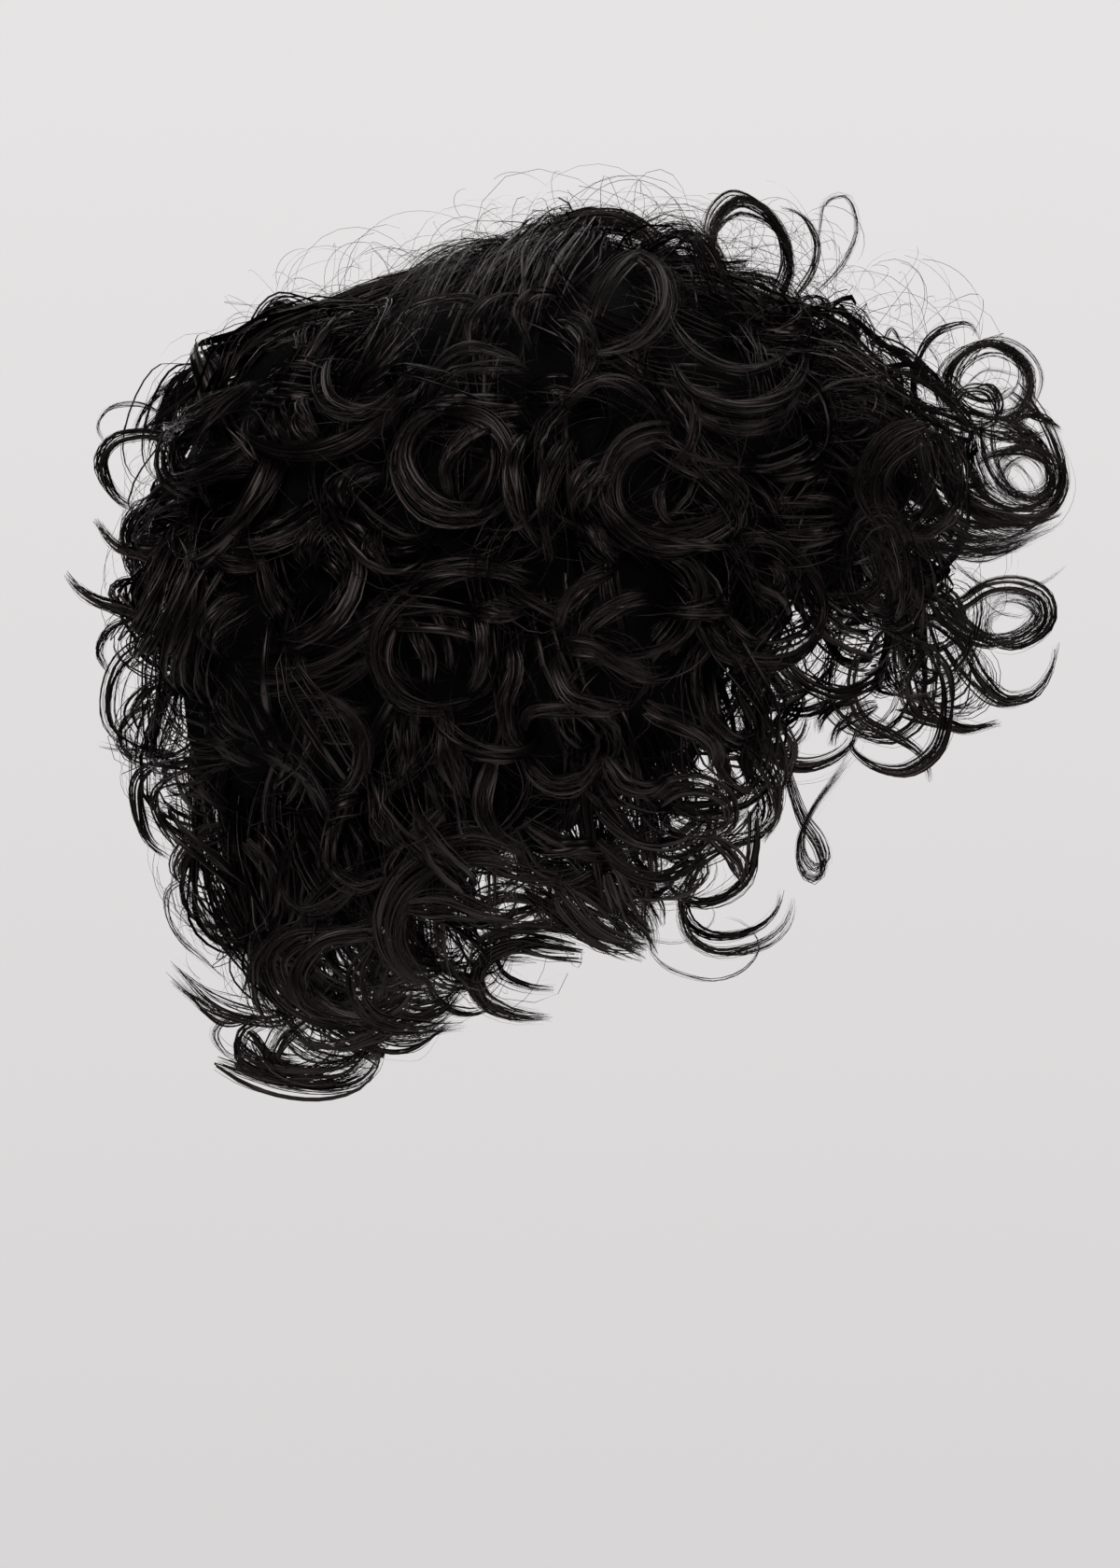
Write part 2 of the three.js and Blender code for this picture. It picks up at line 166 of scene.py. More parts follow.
# Lines read from a photo of the right side, in millimetres ahead of and above the crown point
TRESS_ROWS = (
    # Crown
    (4.1, ((6, 13), (-18, 11), (-41, 6), (-65, 0), (-86, -10)), (0, 0)),
    (3.5, ((-18, 10), (-41, 5), (-65, -1), (-94, -14), (-115, -26), (-129, -39)), (16, 8)),
    (3.5, ((-30, 8), (-53, 3), (-74, -4), (-94, -14), (-112, -25), (-126, -37)), (-14, -6)),
    (3.5, ((-59, 1), (-80, -7), (-94, -14), (-115, -26), (-130, -39)), (4, 0)),
    (4.1, ((-6, 9), (-30, 4), (-53, -2), (-74, -9), (-91, -20)), (34, 30)),
    (5.6, ((63, -4), (66, 6), (64, 16), (58, 24), (50, 27), (44, 22), (42, 14), (46, 5), (53, -2)),
     (0, 14), 8),
    (1.5, ((68, -4), (74, 6), (75, 15), (70, 23), (63, 25)), (6, -6)),
    (0.9, ((73, -4), (84, 8), (88, 20), (84, 29), (78, 27), (76, 17), (73, 4)), (0, -8)),
    (5.3, ((-19, 9), (-10, 17), (0, 20), (12, 20), (24, 14), (31, 6)), (10, 22)),
    (2.7, ((-16, 12), (-7, 20), (4, 24), (14, 21)), (0, 8)),
    (6.5, ((4, -9), (9, 0), (18, 6), (24, 1), (26, -10), (20, -19), (9, -22), (-2, -19))),
    (5.9, ((-9, -6), (-1, -11), (3, -19), (2, -26), (-5, -34))),
    (4.1, ((-6, 2), (-15, -2), (-19, -10), (-16, -17))),
    (2.7, ((28, -2), (30, -13), (37, -23), (49, -28), (62, -24), (70, -15))),
    (5.3, ((31, -21), (35, -33), (47, -40), (61, -38), (70, -28), (72, -15))),
    (4.7, ((34, -36), (41, -44), (53, -47), (65, -41), (73, -30))),
    (7.1, ((-30, -3), (-41, -6), (-51, -11), (-60, -19))),
    (4.1, ((-18, 2), (-30, -7), (-35, -16), (-32, -25))),
    # Front
    (7.7, ((117, -42), (118, -57), (125, -69), (137, -74)), (30, 6), 14),
    (7.7, ((125, -42), (126, -54), (130, -63), (139, -69)), (10, 0), 12),
    (5.9, ((134, -44), (142, -48), (147, -55)), (0, -6), 10),
    (6.5, ((112, -48), (114, -60), (122, -70), (136, -76), (148, -72)), (14, 0), 12),
    (6.5, ((108, -48), (108, -61), (114, -73), (127, -80), (142, -78)), (40, 4), 12),
    (2.7, ((124, -44), (123, -54), (127, -64), (137, -70), (148, -67), (151, -58)), (6, -6)),
    (2.7, ((130, -41), (139, -44), (146, -50), (149, -60), (146, -68)), (0, -8)),
    (2.4, ((134, -48), (143, -50), (149, -57)), (0, -8)),
    (2.9, ((115, -41), (125, -45), (136, -48), (145, -47), (150, -45)), (10, -2)),
    (2.4, ((117, -33), (124, -39), (134, -41), (141, -37), (143, -31)), (4, -4)),
    (2.4, ((115, -26), (121, -33), (130, -36), (138, -32)), (-4, 4)),
    (4.1, ((83, -19), (94, -26), (105, -35), (112, -47)), (44, 20)),
    (4.1, ((77, -27), (90, -33), (102, -42), (109, -54)), (50, 24)),
    (5.9, ((112, -43), (100, -48), (93, -58), (93, -70), (101, -78), (116, -83), (134, -81), (149, -74)),
     (74, 10), 12),
    (2.9, ((116, -47), (109, -57), (110, -67), (119, -73), (135, -75), (148, -70), (154, -61)), (20, 2)),
    (2.7, ((121, -48), (116, -57), (118, -67), (127, -72), (140, -71)), (8, -4)),
    (3.8, ((131, -58), (134, -53), (142, -52), (148, -56), (149, -63), (143, -68), (135, -66), (132, -61),
           (136, -56), (142, -56)),
     (4, -6), 8),
    (2.7, ((139, -30), (145, -38), (150, -48), (153, -60), (150, -70), (142, -77), (130, -82)), (2, -6)),
    (2.7, ((135, -43), (141, -40), (146, -41), (152, -45)), (6, -2)),
    (2.4, ((124, -33), (130, -32), (133, -37), (129, -43), (123, -43), (121, -38)), (10, 0)),
    (3.5, ((97, -26), (108, -29), (117, -36), (124, -44), (130, -54)), (36, 10)),
    (2.9, ((100, -36), (112, -39), (124, -41), (136, -43)), (30, 6)),
    (3.5, ((91, -16), (102, -21), (111, -29), (115, -39)), (40, 14)),
    (2.9, ((112, -75), (121, -81), (133, -83), (142, -80)), (28, 4)),
    (4.1, ((112, -98), (121, -105), (130, -111), (140, -109), (145, -103), (140, -98), (132, -98),
           (129, -104)),
     (-8, -26), 8),
    (4.1, ((105, -95), (114, -98), (121, -104), (127, -111)), (30, 6)),
    (3.5, ((103, -103), (112, -106), (121, -113), (126, -121)), (26, 4)),
    (3.5, ((100, -134), (112, -137), (124, -140), (133, -138)), (24, 6)),
    (2.1, ((107, -40), (106, -29), (109, -19), (116, -13), (124, -12), (127, -17)), (0, 6)),
    (4.4, ((117, -39), (117, -28), (122, -21), (130, -18), (139, -22), (143, -29), (141, -37), (135, -43),
           (126, -42)),
     (16, 30), 14),
    (2.1, ((118, -40), (122, -33), (129, -33), (132, -39), (131, -45)), (10, 2)),
    (2.4, ((136, -34), (142, -39), (147, -42), (153, -46)), (0, -6)),
    (1.5, ((94, -28), (96, -19), (99, -13), (102, -17), (106, -26)), (12, 4)),
    (4.1, ((87, -32), (97, -27), (107, -26), (114, -32), (116, -41)), (34, 6)),
    (4.7, ((108, -44), (113, -58), (124, -68), (137, -72), (149, -71), (154, -63), (153, -53), (148, -42)),
     (24, -6)),
    (4.7, ((126, -55), (133, -52), (143, -52), (150, -57), (150, -64), (143, -68), (136, -65), (132, -59)),
     (10, 0), 8),
    (4.1, ((114, -61), (127, -71), (142, -75), (153, -71)), (18, 8)),
    (7.4, ((110, -43), (100, -47), (94, -54), (91, -63), (94, -71), (101, -78), (113, -82)), (88, 72)),
    (5.3, ((108, -47), (99, -54), (95, -63), (97, -72), (105, -79)), (86, 74)),
    (5.3, ((107, -43), (110, -57), (114, -69), (123, -77), (138, -79)), (64, 24)),
    (3.8, ((114, -45), (116, -54), (121, -61), (132, -63)), (52, 14)),
    (1.2, ((108, -78), (115, -83), (127, -86), (137, -83), (145, -78)), (10, -4)),
    (0.9, ((118, -86), (124, -92), (135, -96), (146, -94), (155, -87)), (0, -4)),
    (4.4, ((106, -100), (121, -101), (129, -96), (139, -95), (147, -99), (148, -105), (143, -111),
           (135, -113), (129, -109), (130, -104), (137, -102)),
     (-4, -28)),
    (3.5, ((110, -90), (113, -101), (121, -109), (130, -113), (138, -112)), (28, 8)),
    (3.5, ((111, -105), (122, -113), (127, -122), (136, -130), (144, -128), (149, -121), (151, -112)),
     (26, 12)),
    (2.7, ((114, -112), (124, -125), (134, -132), (145, -130)), (16, 0)),
    (3.2, ((106, -121), (112, -134), (121, -140), (134, -138)), (16, 4)),
    (3.8, ((108, -112), (116, -122), (117, -135), (113, -147), (103, -153), (93, -151), (86, -145),
           (84, -137)),
     (44, 30)),
    (3.2, ((90, -113), (87, -124), (90, -135), (100, -141), (109, -149), (111, -158)), (60, 24)),
    (4.7, ((64, -113), (58, -123), (55, -135), (59, -145), (68, -151), (78, -150), (86, -144), (88, -136)),
     (90, 62)),
    (4.1, ((64, -118), (73, -126), (84, -129), (94, -124), (99, -117)), (84, 50)),
    (3.5, ((95, -132), (86, -136), (82, -140), (80, -146)), (60, 50)),
    (3.2, ((109, -115), (104, -122), (103, -130), (108, -137), (116, -140)), (42, 24)),
    (2.9, ((94, -98), (98, -108), (106, -113), (116, -113)), (56, 30)),
    (3.5, ((93, -86), (101, -93), (108, -103), (109, -113)), (60, 40)),
    (4.7, ((77, -35), (88, -39), (97, -48), (105, -63)), (72, 52)),
    (3.5, ((68, -64), (77, -59), (88, -61), (97, -70)), (76, 60)),
    (4.7, ((55, -71), (68, -69), (81, -69), (91, -76)), (84, 66)),
    (4.1, ((83, -75), (93, -81), (100, -91), (100, -104)), (70, 50)),
    (0.5, ((130, -57), (134, -52), (141, -50), (147, -55), (148, -61), (144, -66), (137, -67), (132, -63)),
     (2, -4)),
    (0.5, ((133, -64), (135, -57), (140, -54), (145, -57), (146, -63), (142, -66)), (0, -6)),
    (0.5, ((128, -51), (137, -55), (143, -61), (146, -69)), (4, 0)),
    (0.5, ((124, -26), (127, -20), (133, -19), (138, -23), (139, -30), (135, -35), (127, -35)), (10, 20)),
    (0.5, ((122, -32), (128, -27), (136, -27), (142, -30)), (6, 14)),
    (0.5, ((125, -36), (130, -32), (136, -33), (139, -37)), (12, 4)),
    (0.5, ((130, -103), (134, -98), (141, -98), (145, -103), (142, -108), (135, -109)), (-10, -20)),
    (0.5, ((127, -98), (133, -103), (140, -104), (145, -101)), (-14, -24)),
    # Cheek
    (3.5, ((50, -128), (55, -140), (53, -151), (58, -162)), (94, 84)),
    (2.9, ((58, -134), (63, -145), (64, -157), (60, -166)), (92, 80)),
    (3.5, ((44, -134), (43, -145), (47, -156), (55, -160), (60, -157)), (96, 88)),
    (2.9, ((53, -145), (60, -154), (63, -166), (58, -176)), (90, 76)),
    (2.7, ((63, -137), (68, -147), (65, -159)), (88, 72)),
    (7.1, ((-18, -190), (-3, -200), (10, -207), (21, -213)), (86, 62)),
    (5.3, ((6, -191), (15, -197), (21, -204), (24, -212)), (78, 60)),
    (4.7, ((-18, -169), (-6, -176), (6, -179), (21, -176), (30, -169)), (92, 80)),
    (4.1, ((6, -175), (15, -184), (24, -187), (34, -184), (41, -176), (43, -169)), (90, 78)),
    (4.1, ((24, -160), (34, -167), (44, -169), (55, -166)), (92, 78)),
    (3.5, ((41, -173), (50, -182), (53, -190)), (88, 74)),
    (4.7, ((-35, -175), (-24, -184), (-9, -187), (3, -184)), (96, 84)),
    (2.7, ((64, -146), (67, -158), (71, -169), (76, -177), (77, -184), (74, -186), (71, -183), (70, -175),
           (74, -165), (81, -155), (86, -147)),
     (76, 60), 6),
    (3.8, ((55, -165), (55, -178), (53, -187), (46, -193), (37, -195), (28, -189), (23, -181)), (82, 62)),
    (2.1, ((34, -194), (37, -184), (46, -177), (58, -173), (64, -165)), (64, 78)),
    (3.2, ((38, -187), (33, -197), (35, -205), (42, -210), (52, -210), (60, -207), (66, -201), (68, -193)),
     (70, 52)),
    (0.7, ((21, -208), (26, -214), (35, -218), (44, -219), (53, -215), (57, -209), (53, -202), (46, -199)),
     (66, 50)),
    (10.0, ((-7, -190), (4, -200), (13, -205), (23, -208)), (88, 64)),
    (7.7, ((-10, -183), (0, -195), (10, -203), (22, -210)), (84, 62)),
    (5.9, ((0, -187), (10, -194), (19, -201), (25, -204)), (80, 60)),
    (6.5, ((9, -185), (15, -196), (21, -207)), (86, 64)),
    (6.2, ((2, -211), (-9, -209), (-21, -207), (-30, -211), (-34, -218), (-32, -224), (-24, -229),
           (-8, -231)),
     (68, 50)),
    (4.4, ((-2, -209), (-16, -207), (-27, -210), (-33, -218), (-31, -225), (-21, -230), (-9, -231)),
     (67, 50)),
    (2.7, ((1, -205), (-13, -203), (-25, -204), (-33, -208), (-35, -216)), (74, 64)),
    (10.0, ((-19, -181), (-34, -178), (-47, -182), (-56, -190), (-60, -200), (-59, -210), (-53, -218),
            (-38, -223)),
     (102, 72)),
    (7.1, ((-54, -196), (-41, -195), (-30, -198), (-17, -203)), (98, 80)),
    (3.5, ((-20, -172), (-14, -185), (-3, -189), (9, -184), (22, -186)), (94, 76)),
    (1.8, ((-13, -189), (-11, -200), (-4, -203), (-1, -196), (-6, -191)), (84, 74)),
    (2.7, ((21, -172), (24, -185), (21, -196), (21, -206)), (84, 66)),
    (4.7, ((24, -167), (28, -159), (37, -156), (46, -160), (47, -168), (40, -173), (28, -172))),
    (3.5, ((6, -169), (18, -176), (32, -176), (44, -171))),
    (2.7, ((58, -142), (63, -157), (61, -169), (53, -176)), (92, 74)),
    # Right
    (6.5, ((-79, -16), (-81, -27), (-77, -38), (-66, -41), (-58, -33), (-55, -22))),
    (4.7, ((-108, -39), (-106, -47), (-97, -52), (-86, -54), (-72, -51), (-62, -43), (-56, -32))),
    (8.8, ((-94, -33), (-94, -42), (-91, -52))),
    (7.7, ((-86, -35), (-84, -44), (-82, -52))),
    (10.0, ((-104, -29), (-112, -39), (-122, -47), (-134, -45))),
    (7.7, ((-49, -37), (-41, -29), (-31, -25), (-16, -24))),
    (5.3, ((-46, -37), (-36, -40), (-28, -44), (-22, -52), (-20, -63), (-25, -71))),
    (7.1, ((-44, -35), (-53, -44), (-56, -54), (-52, -64), (-43, -71), (-31, -71), (-22, -63))),
    (7.1, ((-29, -43), (-35, -51), (-40, -59), (-41, -67))),
    (7.7, ((-66, -56), (-72, -64), (-74, -73))),
    (10.6, ((-79, -72), (-84, -81), (-87, -91))),
    (4.1, ((-99, -71), (-100, -82), (-97, -92), (-94, -100))),
    (6.5, ((-117, -78), (-112, -85), (-102, -88))),
    (9.4, ((-65, -73), (-64, -83), (-60, -93))),
    (7.7, ((-57, -103), (-50, -95), (-38, -91), (-24, -90), (-14, -93))),
    (7.7, ((-44, -94), (-54, -100), (-60, -110), (-60, -121), (-54, -130), (-45, -133), (-35, -131))),
    (4.7, ((-39, -99), (-31, -104), (-29, -113), (-31, -122), (-37, -130))),
    (4.1, ((-41, -100), (-37, -108), (-37, -116))),
    (6.5, ((-35, -103), (-27, -101), (-16, -102))),
    (7.1, ((-107, -113), (-91, -113), (-80, -110), (-69, -103), (-65, -96))),
    (7.7, ((-110, -120), (-91, -119), (-77, -115), (-65, -106), (-59, -99))),
    (7.1, ((-107, -127), (-88, -126), (-74, -123), (-63, -116), (-57, -109))),
    (5.9, ((-93, -129), (-80, -131), (-68, -136))),
    (11.8, ((-108, -99), (-112, -109), (-114, -119))),
    (7.1, ((-114, -125), (-109, -134), (-104, -144))),
    (5.9, ((-121, -135), (-112, -142), (-104, -153))),
    (7.7, ((-110, -145), (-97, -146), (-87, -151), (-82, -160), (-81, -173))),
    (5.9, ((-94, -143), (-91, -134), (-80, -130), (-69, -138), (-68, -150), (-74, -159), (-83, -157))),
    (10.6, ((-65, -159), (-61, -168), (-55, -179))),
    (8.3, ((-43, -133), (-39, -148), (-37, -164))),
    (4.1, ((-24, -112), (-21, -122), (-23, -131), (-22, -142), (-17, -152))),
    (3.5, ((30, -25), (34, -36), (36, -44), (34, -53), (28, -58))),
    (7.7, ((35, -45), (24, -46), (15, -51), (10, -60), (11, -71), (18, -78), (28, -81), (40, -78),
           (49, -72), (52, -63), (47, -58), (38, -58)))
     ,
    (3.5, ((28, -59), (25, -67), (28, -74), (37, -76))),
    (4.4, ((-2, -44), (-6, -54), (-9, -63), (-10, -75), (-8, -88))),
    (7.7, ((9, -56), (3, -63), (-2, -72))),
    (7.1, ((53, -80), (63, -81), (71, -88), (77, -100), (74, -110), (65, -116), (54, -116), (46, -112),
           (40, -103), (40, -92), (45, -85)))
     ,
    (3.8, ((44, -97), (47, -106), (53, -112), (63, -113))),
    (4.1, ((62, -85), (64, -92), (63, -101))),
    (4.1, ((38, -103), (44, -114), (56, -119), (68, -118), (79, -112))),
    (6.5, ((1, -73), (7, -82), (14, -89))),
    (5.3, ((13, -88), (2, -94), (-4, -101), (-7, -111))),
    (4.7, ((25, -98), (12, -101), (3, -106), (0, -114))),
    (5.9, ((-7, -113), (5, -114), (12, -119), (21, -123), (31, -123))),
    (4.1, ((-9, -118), (-3, -128), (6, -132), (19, -134))),
    (3.5, ((-19, -143), (-16, -135), (-6, -133), (6, -135), (12, -142))),
    (5.3, ((-19, -152), (-9, -157), (1, -156), (9, -150))),
    (4.1, ((8, -150), (14, -156), (24, -157), (33, -151))),
    (1.2, ((39, -126), (40, -135), (47, -141), (58, -142))),
    (4.7, ((-6, -36), (6, -30), (21, -35), (31, -43))),
    (5.3, ((-18, -44), (-21, -57), (-19, -70), (-12, -83))),
    (5.9, ((-57, -133), (-53, -145), (-57, -159))),
    (6.5, ((-29, -150), (-31, -163), (-25, -176), (-17, -184))),
    (5.9, ((24, -83), (34, -89), (39, -100), (36, -113))),
    (5.3, ((21, -134), (32, -138), (42, -145), (44, -157))),
    (4.7, ((-44, -169), (-53, -175), (-59, -185), (-58, -196))),
    (5.3, ((-81, -173), (-77, -182), (-67, -187), (-56, -184))),
    (4.1, ((-57, -102), (-50, -108), (-46, -117), (-48, -128))),
    (3.5, ((-61, -110), (-58, -119), (-51, -127))),
    (2.9, ((-53, -98), (-44, -103), (-40, -113), (-41, -123))),
    # Back
    (7.1, ((-134, -58), (-122, -59), (-110, -54), (-101, -45))),
    (4.4, ((-107, -55), (-117, -60), (-120, -71))),
    (5.9, ((-112, -22), (-122, -30), (-132, -41), (-139, -48)), (30, 16)),
    (3.2, ((-124, -49), (-139, -47), (-147, -49), (-151, -55), (-150, -61), (-146, -67), (-138, -71)),
     (14, -6)),
    (0.9, ((-130, -41), (-140, -37), (-149, -39), (-152, -44), (-149, -51)), (4, 0)),
    (1.2, ((-124, -26), (-134, -35), (-139, -42), (-141, -50)), (10, 0)),
    (2.7, ((-124, -89), (-137, -86), (-147, -81), (-153, -73)), (16, 0)),
    (2.1, ((-131, -67), (-142, -73), (-143, -81), (-136, -87)), (12, 4)),
    (3.5, ((-118, -103), (-134, -105), (-145, -102), (-153, -99), (-159, -94), (-162, -90)), (18, -4)),
    (2.4, ((-133, -105), (-144, -101), (-147, -96), (-142, -93), (-135, -96)), (8, 0)),
    (5.0, ((-121, -111), (-134, -113), (-144, -119), (-148, -129), (-147, -139), (-140, -145),
           (-126, -149)),
     (22, 6)),
    (1.8, ((-138, -103), (-148, -108), (-152, -115), (-148, -123)), (4, -4)),
    (2.1, ((-126, -148), (-139, -147), (-152, -145)), (8, -2)),
    (3.5, ((-132, -149), (-139, -156), (-139, -166), (-136, -175), (-129, -181)), (12, 4)),
    (2.7, ((-127, -153), (-134, -160), (-131, -172), (-125, -180)), (18, 8)),
    (4.7, ((-112, -171), (-122, -176), (-127, -185), (-122, -192)), (28, 14)),
    (3.8, ((-122, -125), (-136, -126), (-142, -134), (-138, -143)), (22, 10)),
    (8.8, ((-136, -150), (-124, -154), (-112, -153))),
    (5.9, ((-119, -75), (-130, -83), (-134, -94), (-127, -101)), (40, 24)),
    # Nape
    (6.5, ((-109, -243), (-94, -249), (-80, -251), (-66, -246)), (24, 20)),
    (5.9, ((-94, -236), (-83, -243), (-69, -243), (-59, -235)), (30, 26)),
    (5.9, ((-106, -236), (-99, -243), (-86, -246)), (20, 10)),
    (5.9, ((-66, -232), (-56, -234), (-46, -232), (-38, -227)), (60, 52)),
    (5.3, ((-60, -226), (-52, -229), (-43, -227), (-36, -221)), (64, 54)),
    (5.3, ((-65, -207), (-71, -219), (-65, -231), (-50, -235), (-35, -234)), (74, 60)),
    (4.7, ((-53, -228), (-65, -237), (-77, -240), (-91, -237)), (60, 48)),
    (4.7, ((-94, -204), (-103, -216), (-100, -230), (-88, -237)), (50, 36)),
    (8.3, ((-63, -200), (-80, -204), (-91, -206), (-97, -213), (-95, -222), (-86, -230), (-71, -234),
           (-53, -233), (-40, -229)),
     (66, 40)),
    (4.7, ((-64, -205), (-83, -209), (-89, -218), (-86, -227), (-73, -232)), (72, 60)),
    (5.3, ((-72, -236), (-59, -239), (-49, -237), (-40, -232)), (36, 46)),
    (5.0, ((-60, -212), (-65, -224), (-67, -234), (-74, -243)), (64, 34)),
    (5.9, ((-115, -245), (-106, -249), (-93, -253), (-80, -254), (-69, -251), (-64, -245), (-63, -236)),
     (6, 32)),
    (4.7, ((-98, -232), (-106, -236), (-107, -243), (-100, -248), (-88, -249), (-80, -245), (-76, -238)),
     (22, 8)),
    (1.8, ((-101, -233), (-112, -232), (-115, -236), (-112, -242), (-105, -245)), (6, 0)),
    (7.1, ((-88, -217), (-94, -230), (-106, -230), (-117, -226), (-125, -219), (-130, -214)), (32, 0)),
    (5.3, ((-84, -230), (-94, -237), (-97, -244), (-88, -250), (-77, -249), (-65, -240)), (30, 20)),
    (4.1, ((-104, -239), (-99, -246), (-86, -248), (-72, -246), (-64, -236)), (24, 32)),
    (2.4, ((-102, -230), (-112, -232), (-122, -225), (-129, -219)), (14, -4)),
    (1.5, ((-122, -186), (-130, -191), (-130, -199), (-126, -206), (-118, -213), (-110, -220)), (12, 20)),
    (2.1, ((-125, -188), (-119, -197), (-113, -207), (-103, -219), (-94, -232), (-88, -241)), (16, 22)),
    (5.6, ((-117, -185), (-111, -200), (-103, -213), (-94, -227), (-86, -237)), (34, 26)),
    (4.4, ((-106, -188), (-103, -201), (-102, -213), (-106, -226)), (40, 26)),
    (4.4, ((-95, -176), (-94, -191), (-87, -197), (-78, -196), (-71, -189), (-73, -178))),
    (3.2, ((-49, -218), (-44, -227), (-35, -230), (-25, -227)), (50, 42)),
    (6.5, ((-53, -222), (-62, -228), (-77, -228), (-86, -222)), (70, 56)),
    (5.3, ((-106, -175), (-99, -184), (-96, -197), (-97, -210)), (60, 50)),
)
TRESSES = tuple(Tress(*row) for row in TRESS_ROWS)


class EdgeRow(NamedTuple):
    """Polar angles of the cap's rim, the undercoat's hem and the lowest curls at one azimuth."""

    azimuth: float
    rim: float
    hem: float
    hang: float


EDGES = (
    EdgeRow(0, 66, 84, 98),
    EdgeRow(30, 69, 88, 98),
    EdgeRow(48, 75, 97, 104),
    EdgeRow(58, 88, 108, 118),
    EdgeRow(72, 110, 126, 139),
    EdgeRow(82, 112, 134, 142),
    EdgeRow(100, 102, 140, 143),
    EdgeRow(125, 112, 145, 149),
    EdgeRow(150, 126, 145, 149),
    EdgeRow(180, 128, 142, 152),
)


class ProfileRow(NamedTuple):
    """How far the hair reaches from the head's middle, ahead and behind, at one polar angle."""

    polar: float
    front: float
    back: float


PROFILE = (
    ProfileRow(0, 112, 112),
    ProfileRow(12, 106, 106),
    ProfileRow(27, 107, 107),
    ProfileRow(38, 114, 115),
    ProfileRow(47, 118, 123),
    ProfileRow(55, 122, 131),
    ProfileRow(64, 128, 140),
    ProfileRow(73, 123, 145),
    ProfileRow(83, 109, 141),
    ProfileRow(95, 105, 141),
    ProfileRow(110, 107, 145),
    ProfileRow(122, 120, 151),
    ProfileRow(143, 138, 174),
    ProfileRow(155, 144, 172),
    ProfileRow(180, 158, 158),
)


@dataclass(frozen=True)
class ZoneSpan:
    """Where a sewn zone lies round the head, the triangles of its hair and the width of its fill.

    A zone without a hem reaches down to the edge.
    """

    node: str
    start: float
    end: float
    top: float
    hem: Optional[float]
    triangles: int
    broad: float = 2.2


class Zone(Enum):
    """The six sewn zones; where spans meet, the first one that fits holds a lock."""

    FRINGE = ZoneSpan("fringe_curls", -50, 50, 40, None, 176_000)
    CROWN = ZoneSpan("crown_curls", -180, 180, 0, 40, 110_000, 1.15)
    RIGHT = ZoneSpan("right_curls", 50, 130, 40, None, 197_000)
    LEFT = ZoneSpan("left_curls", 230, 310, 40, None, 150_000)
    BACK = ZoneSpan("back_curls", 130, 230, 40, 96, 122_000, 2.6)
    NAPE = ZoneSpan("nape_curls", 130, 230, 96, None, 194_000)

    def holds(self, azimuth: float, polar: float) -> bool:
        """Whether a direction lies in the zone.

        Args:
            azimuth: degrees from the front.
            polar: degrees from straight up.
        Returns:
            True where the span takes the direction in.
        """
        span = self.value
        past_straight_down = 181
        beside = any(span.start <= turn <= span.end for turn in (azimuth, azimuth + 360))
        return beside and span.top <= polar < (span.hem or past_straight_down)


@dataclass(frozen=True)
class FillShape:
    """Share and sizes of one kind of filling curl."""

    part: float
    radius: Pair
    turns: Pair


class FillStyle(Enum):
    """How the ring of a filling curl lies: on the surface, upright along it, or level."""

    FLAT = FillShape(0.52, (14.0, 25.0), (0.36, 0.80))
    BARREL = FillShape(0.26, (10.0, 15.0), (0.55, 0.95))
    LEVEL = FillShape(0.22, (10.0, 15.0), (0.50, 0.90))

    def plane(self, azimuth: float, polar: float) -> Pair:
        """Turn of the ring's plane where the hair faces the given direction.

        Args:
            azimuth: degrees from the front.
            polar: degrees from straight up.
        Returns:
            Yaw and pitch in degrees.
        """
        level_pitch = 80
        if self is FillStyle.FLAT:
            return azimuth - 90, polar - 90
        return azimuth, level_pitch if self is FillStyle.LEVEL else 0


@dataclass(frozen=True)
class StripShape:
    """Sizes of one kind of hair strip: its share, width, edge rounding, roll and scatter."""

    part: float
    width: Pair
    rounding: float
    roll: float
    scatter: float


class StripKind(Enum):
    """Strips that hair is made of: broad wisps, single fibres and stray fibres."""

    WISP = StripShape(0.24, (0.50, 0.95), 26, 0.30, 1.0)
    FIBRE = StripShape(0.60, (0.17, 0.30), 48, 0.80, 1.5)
    STRAY = StripShape(0.16, (0.11, 0.17), 48, 3.00, 4.0)


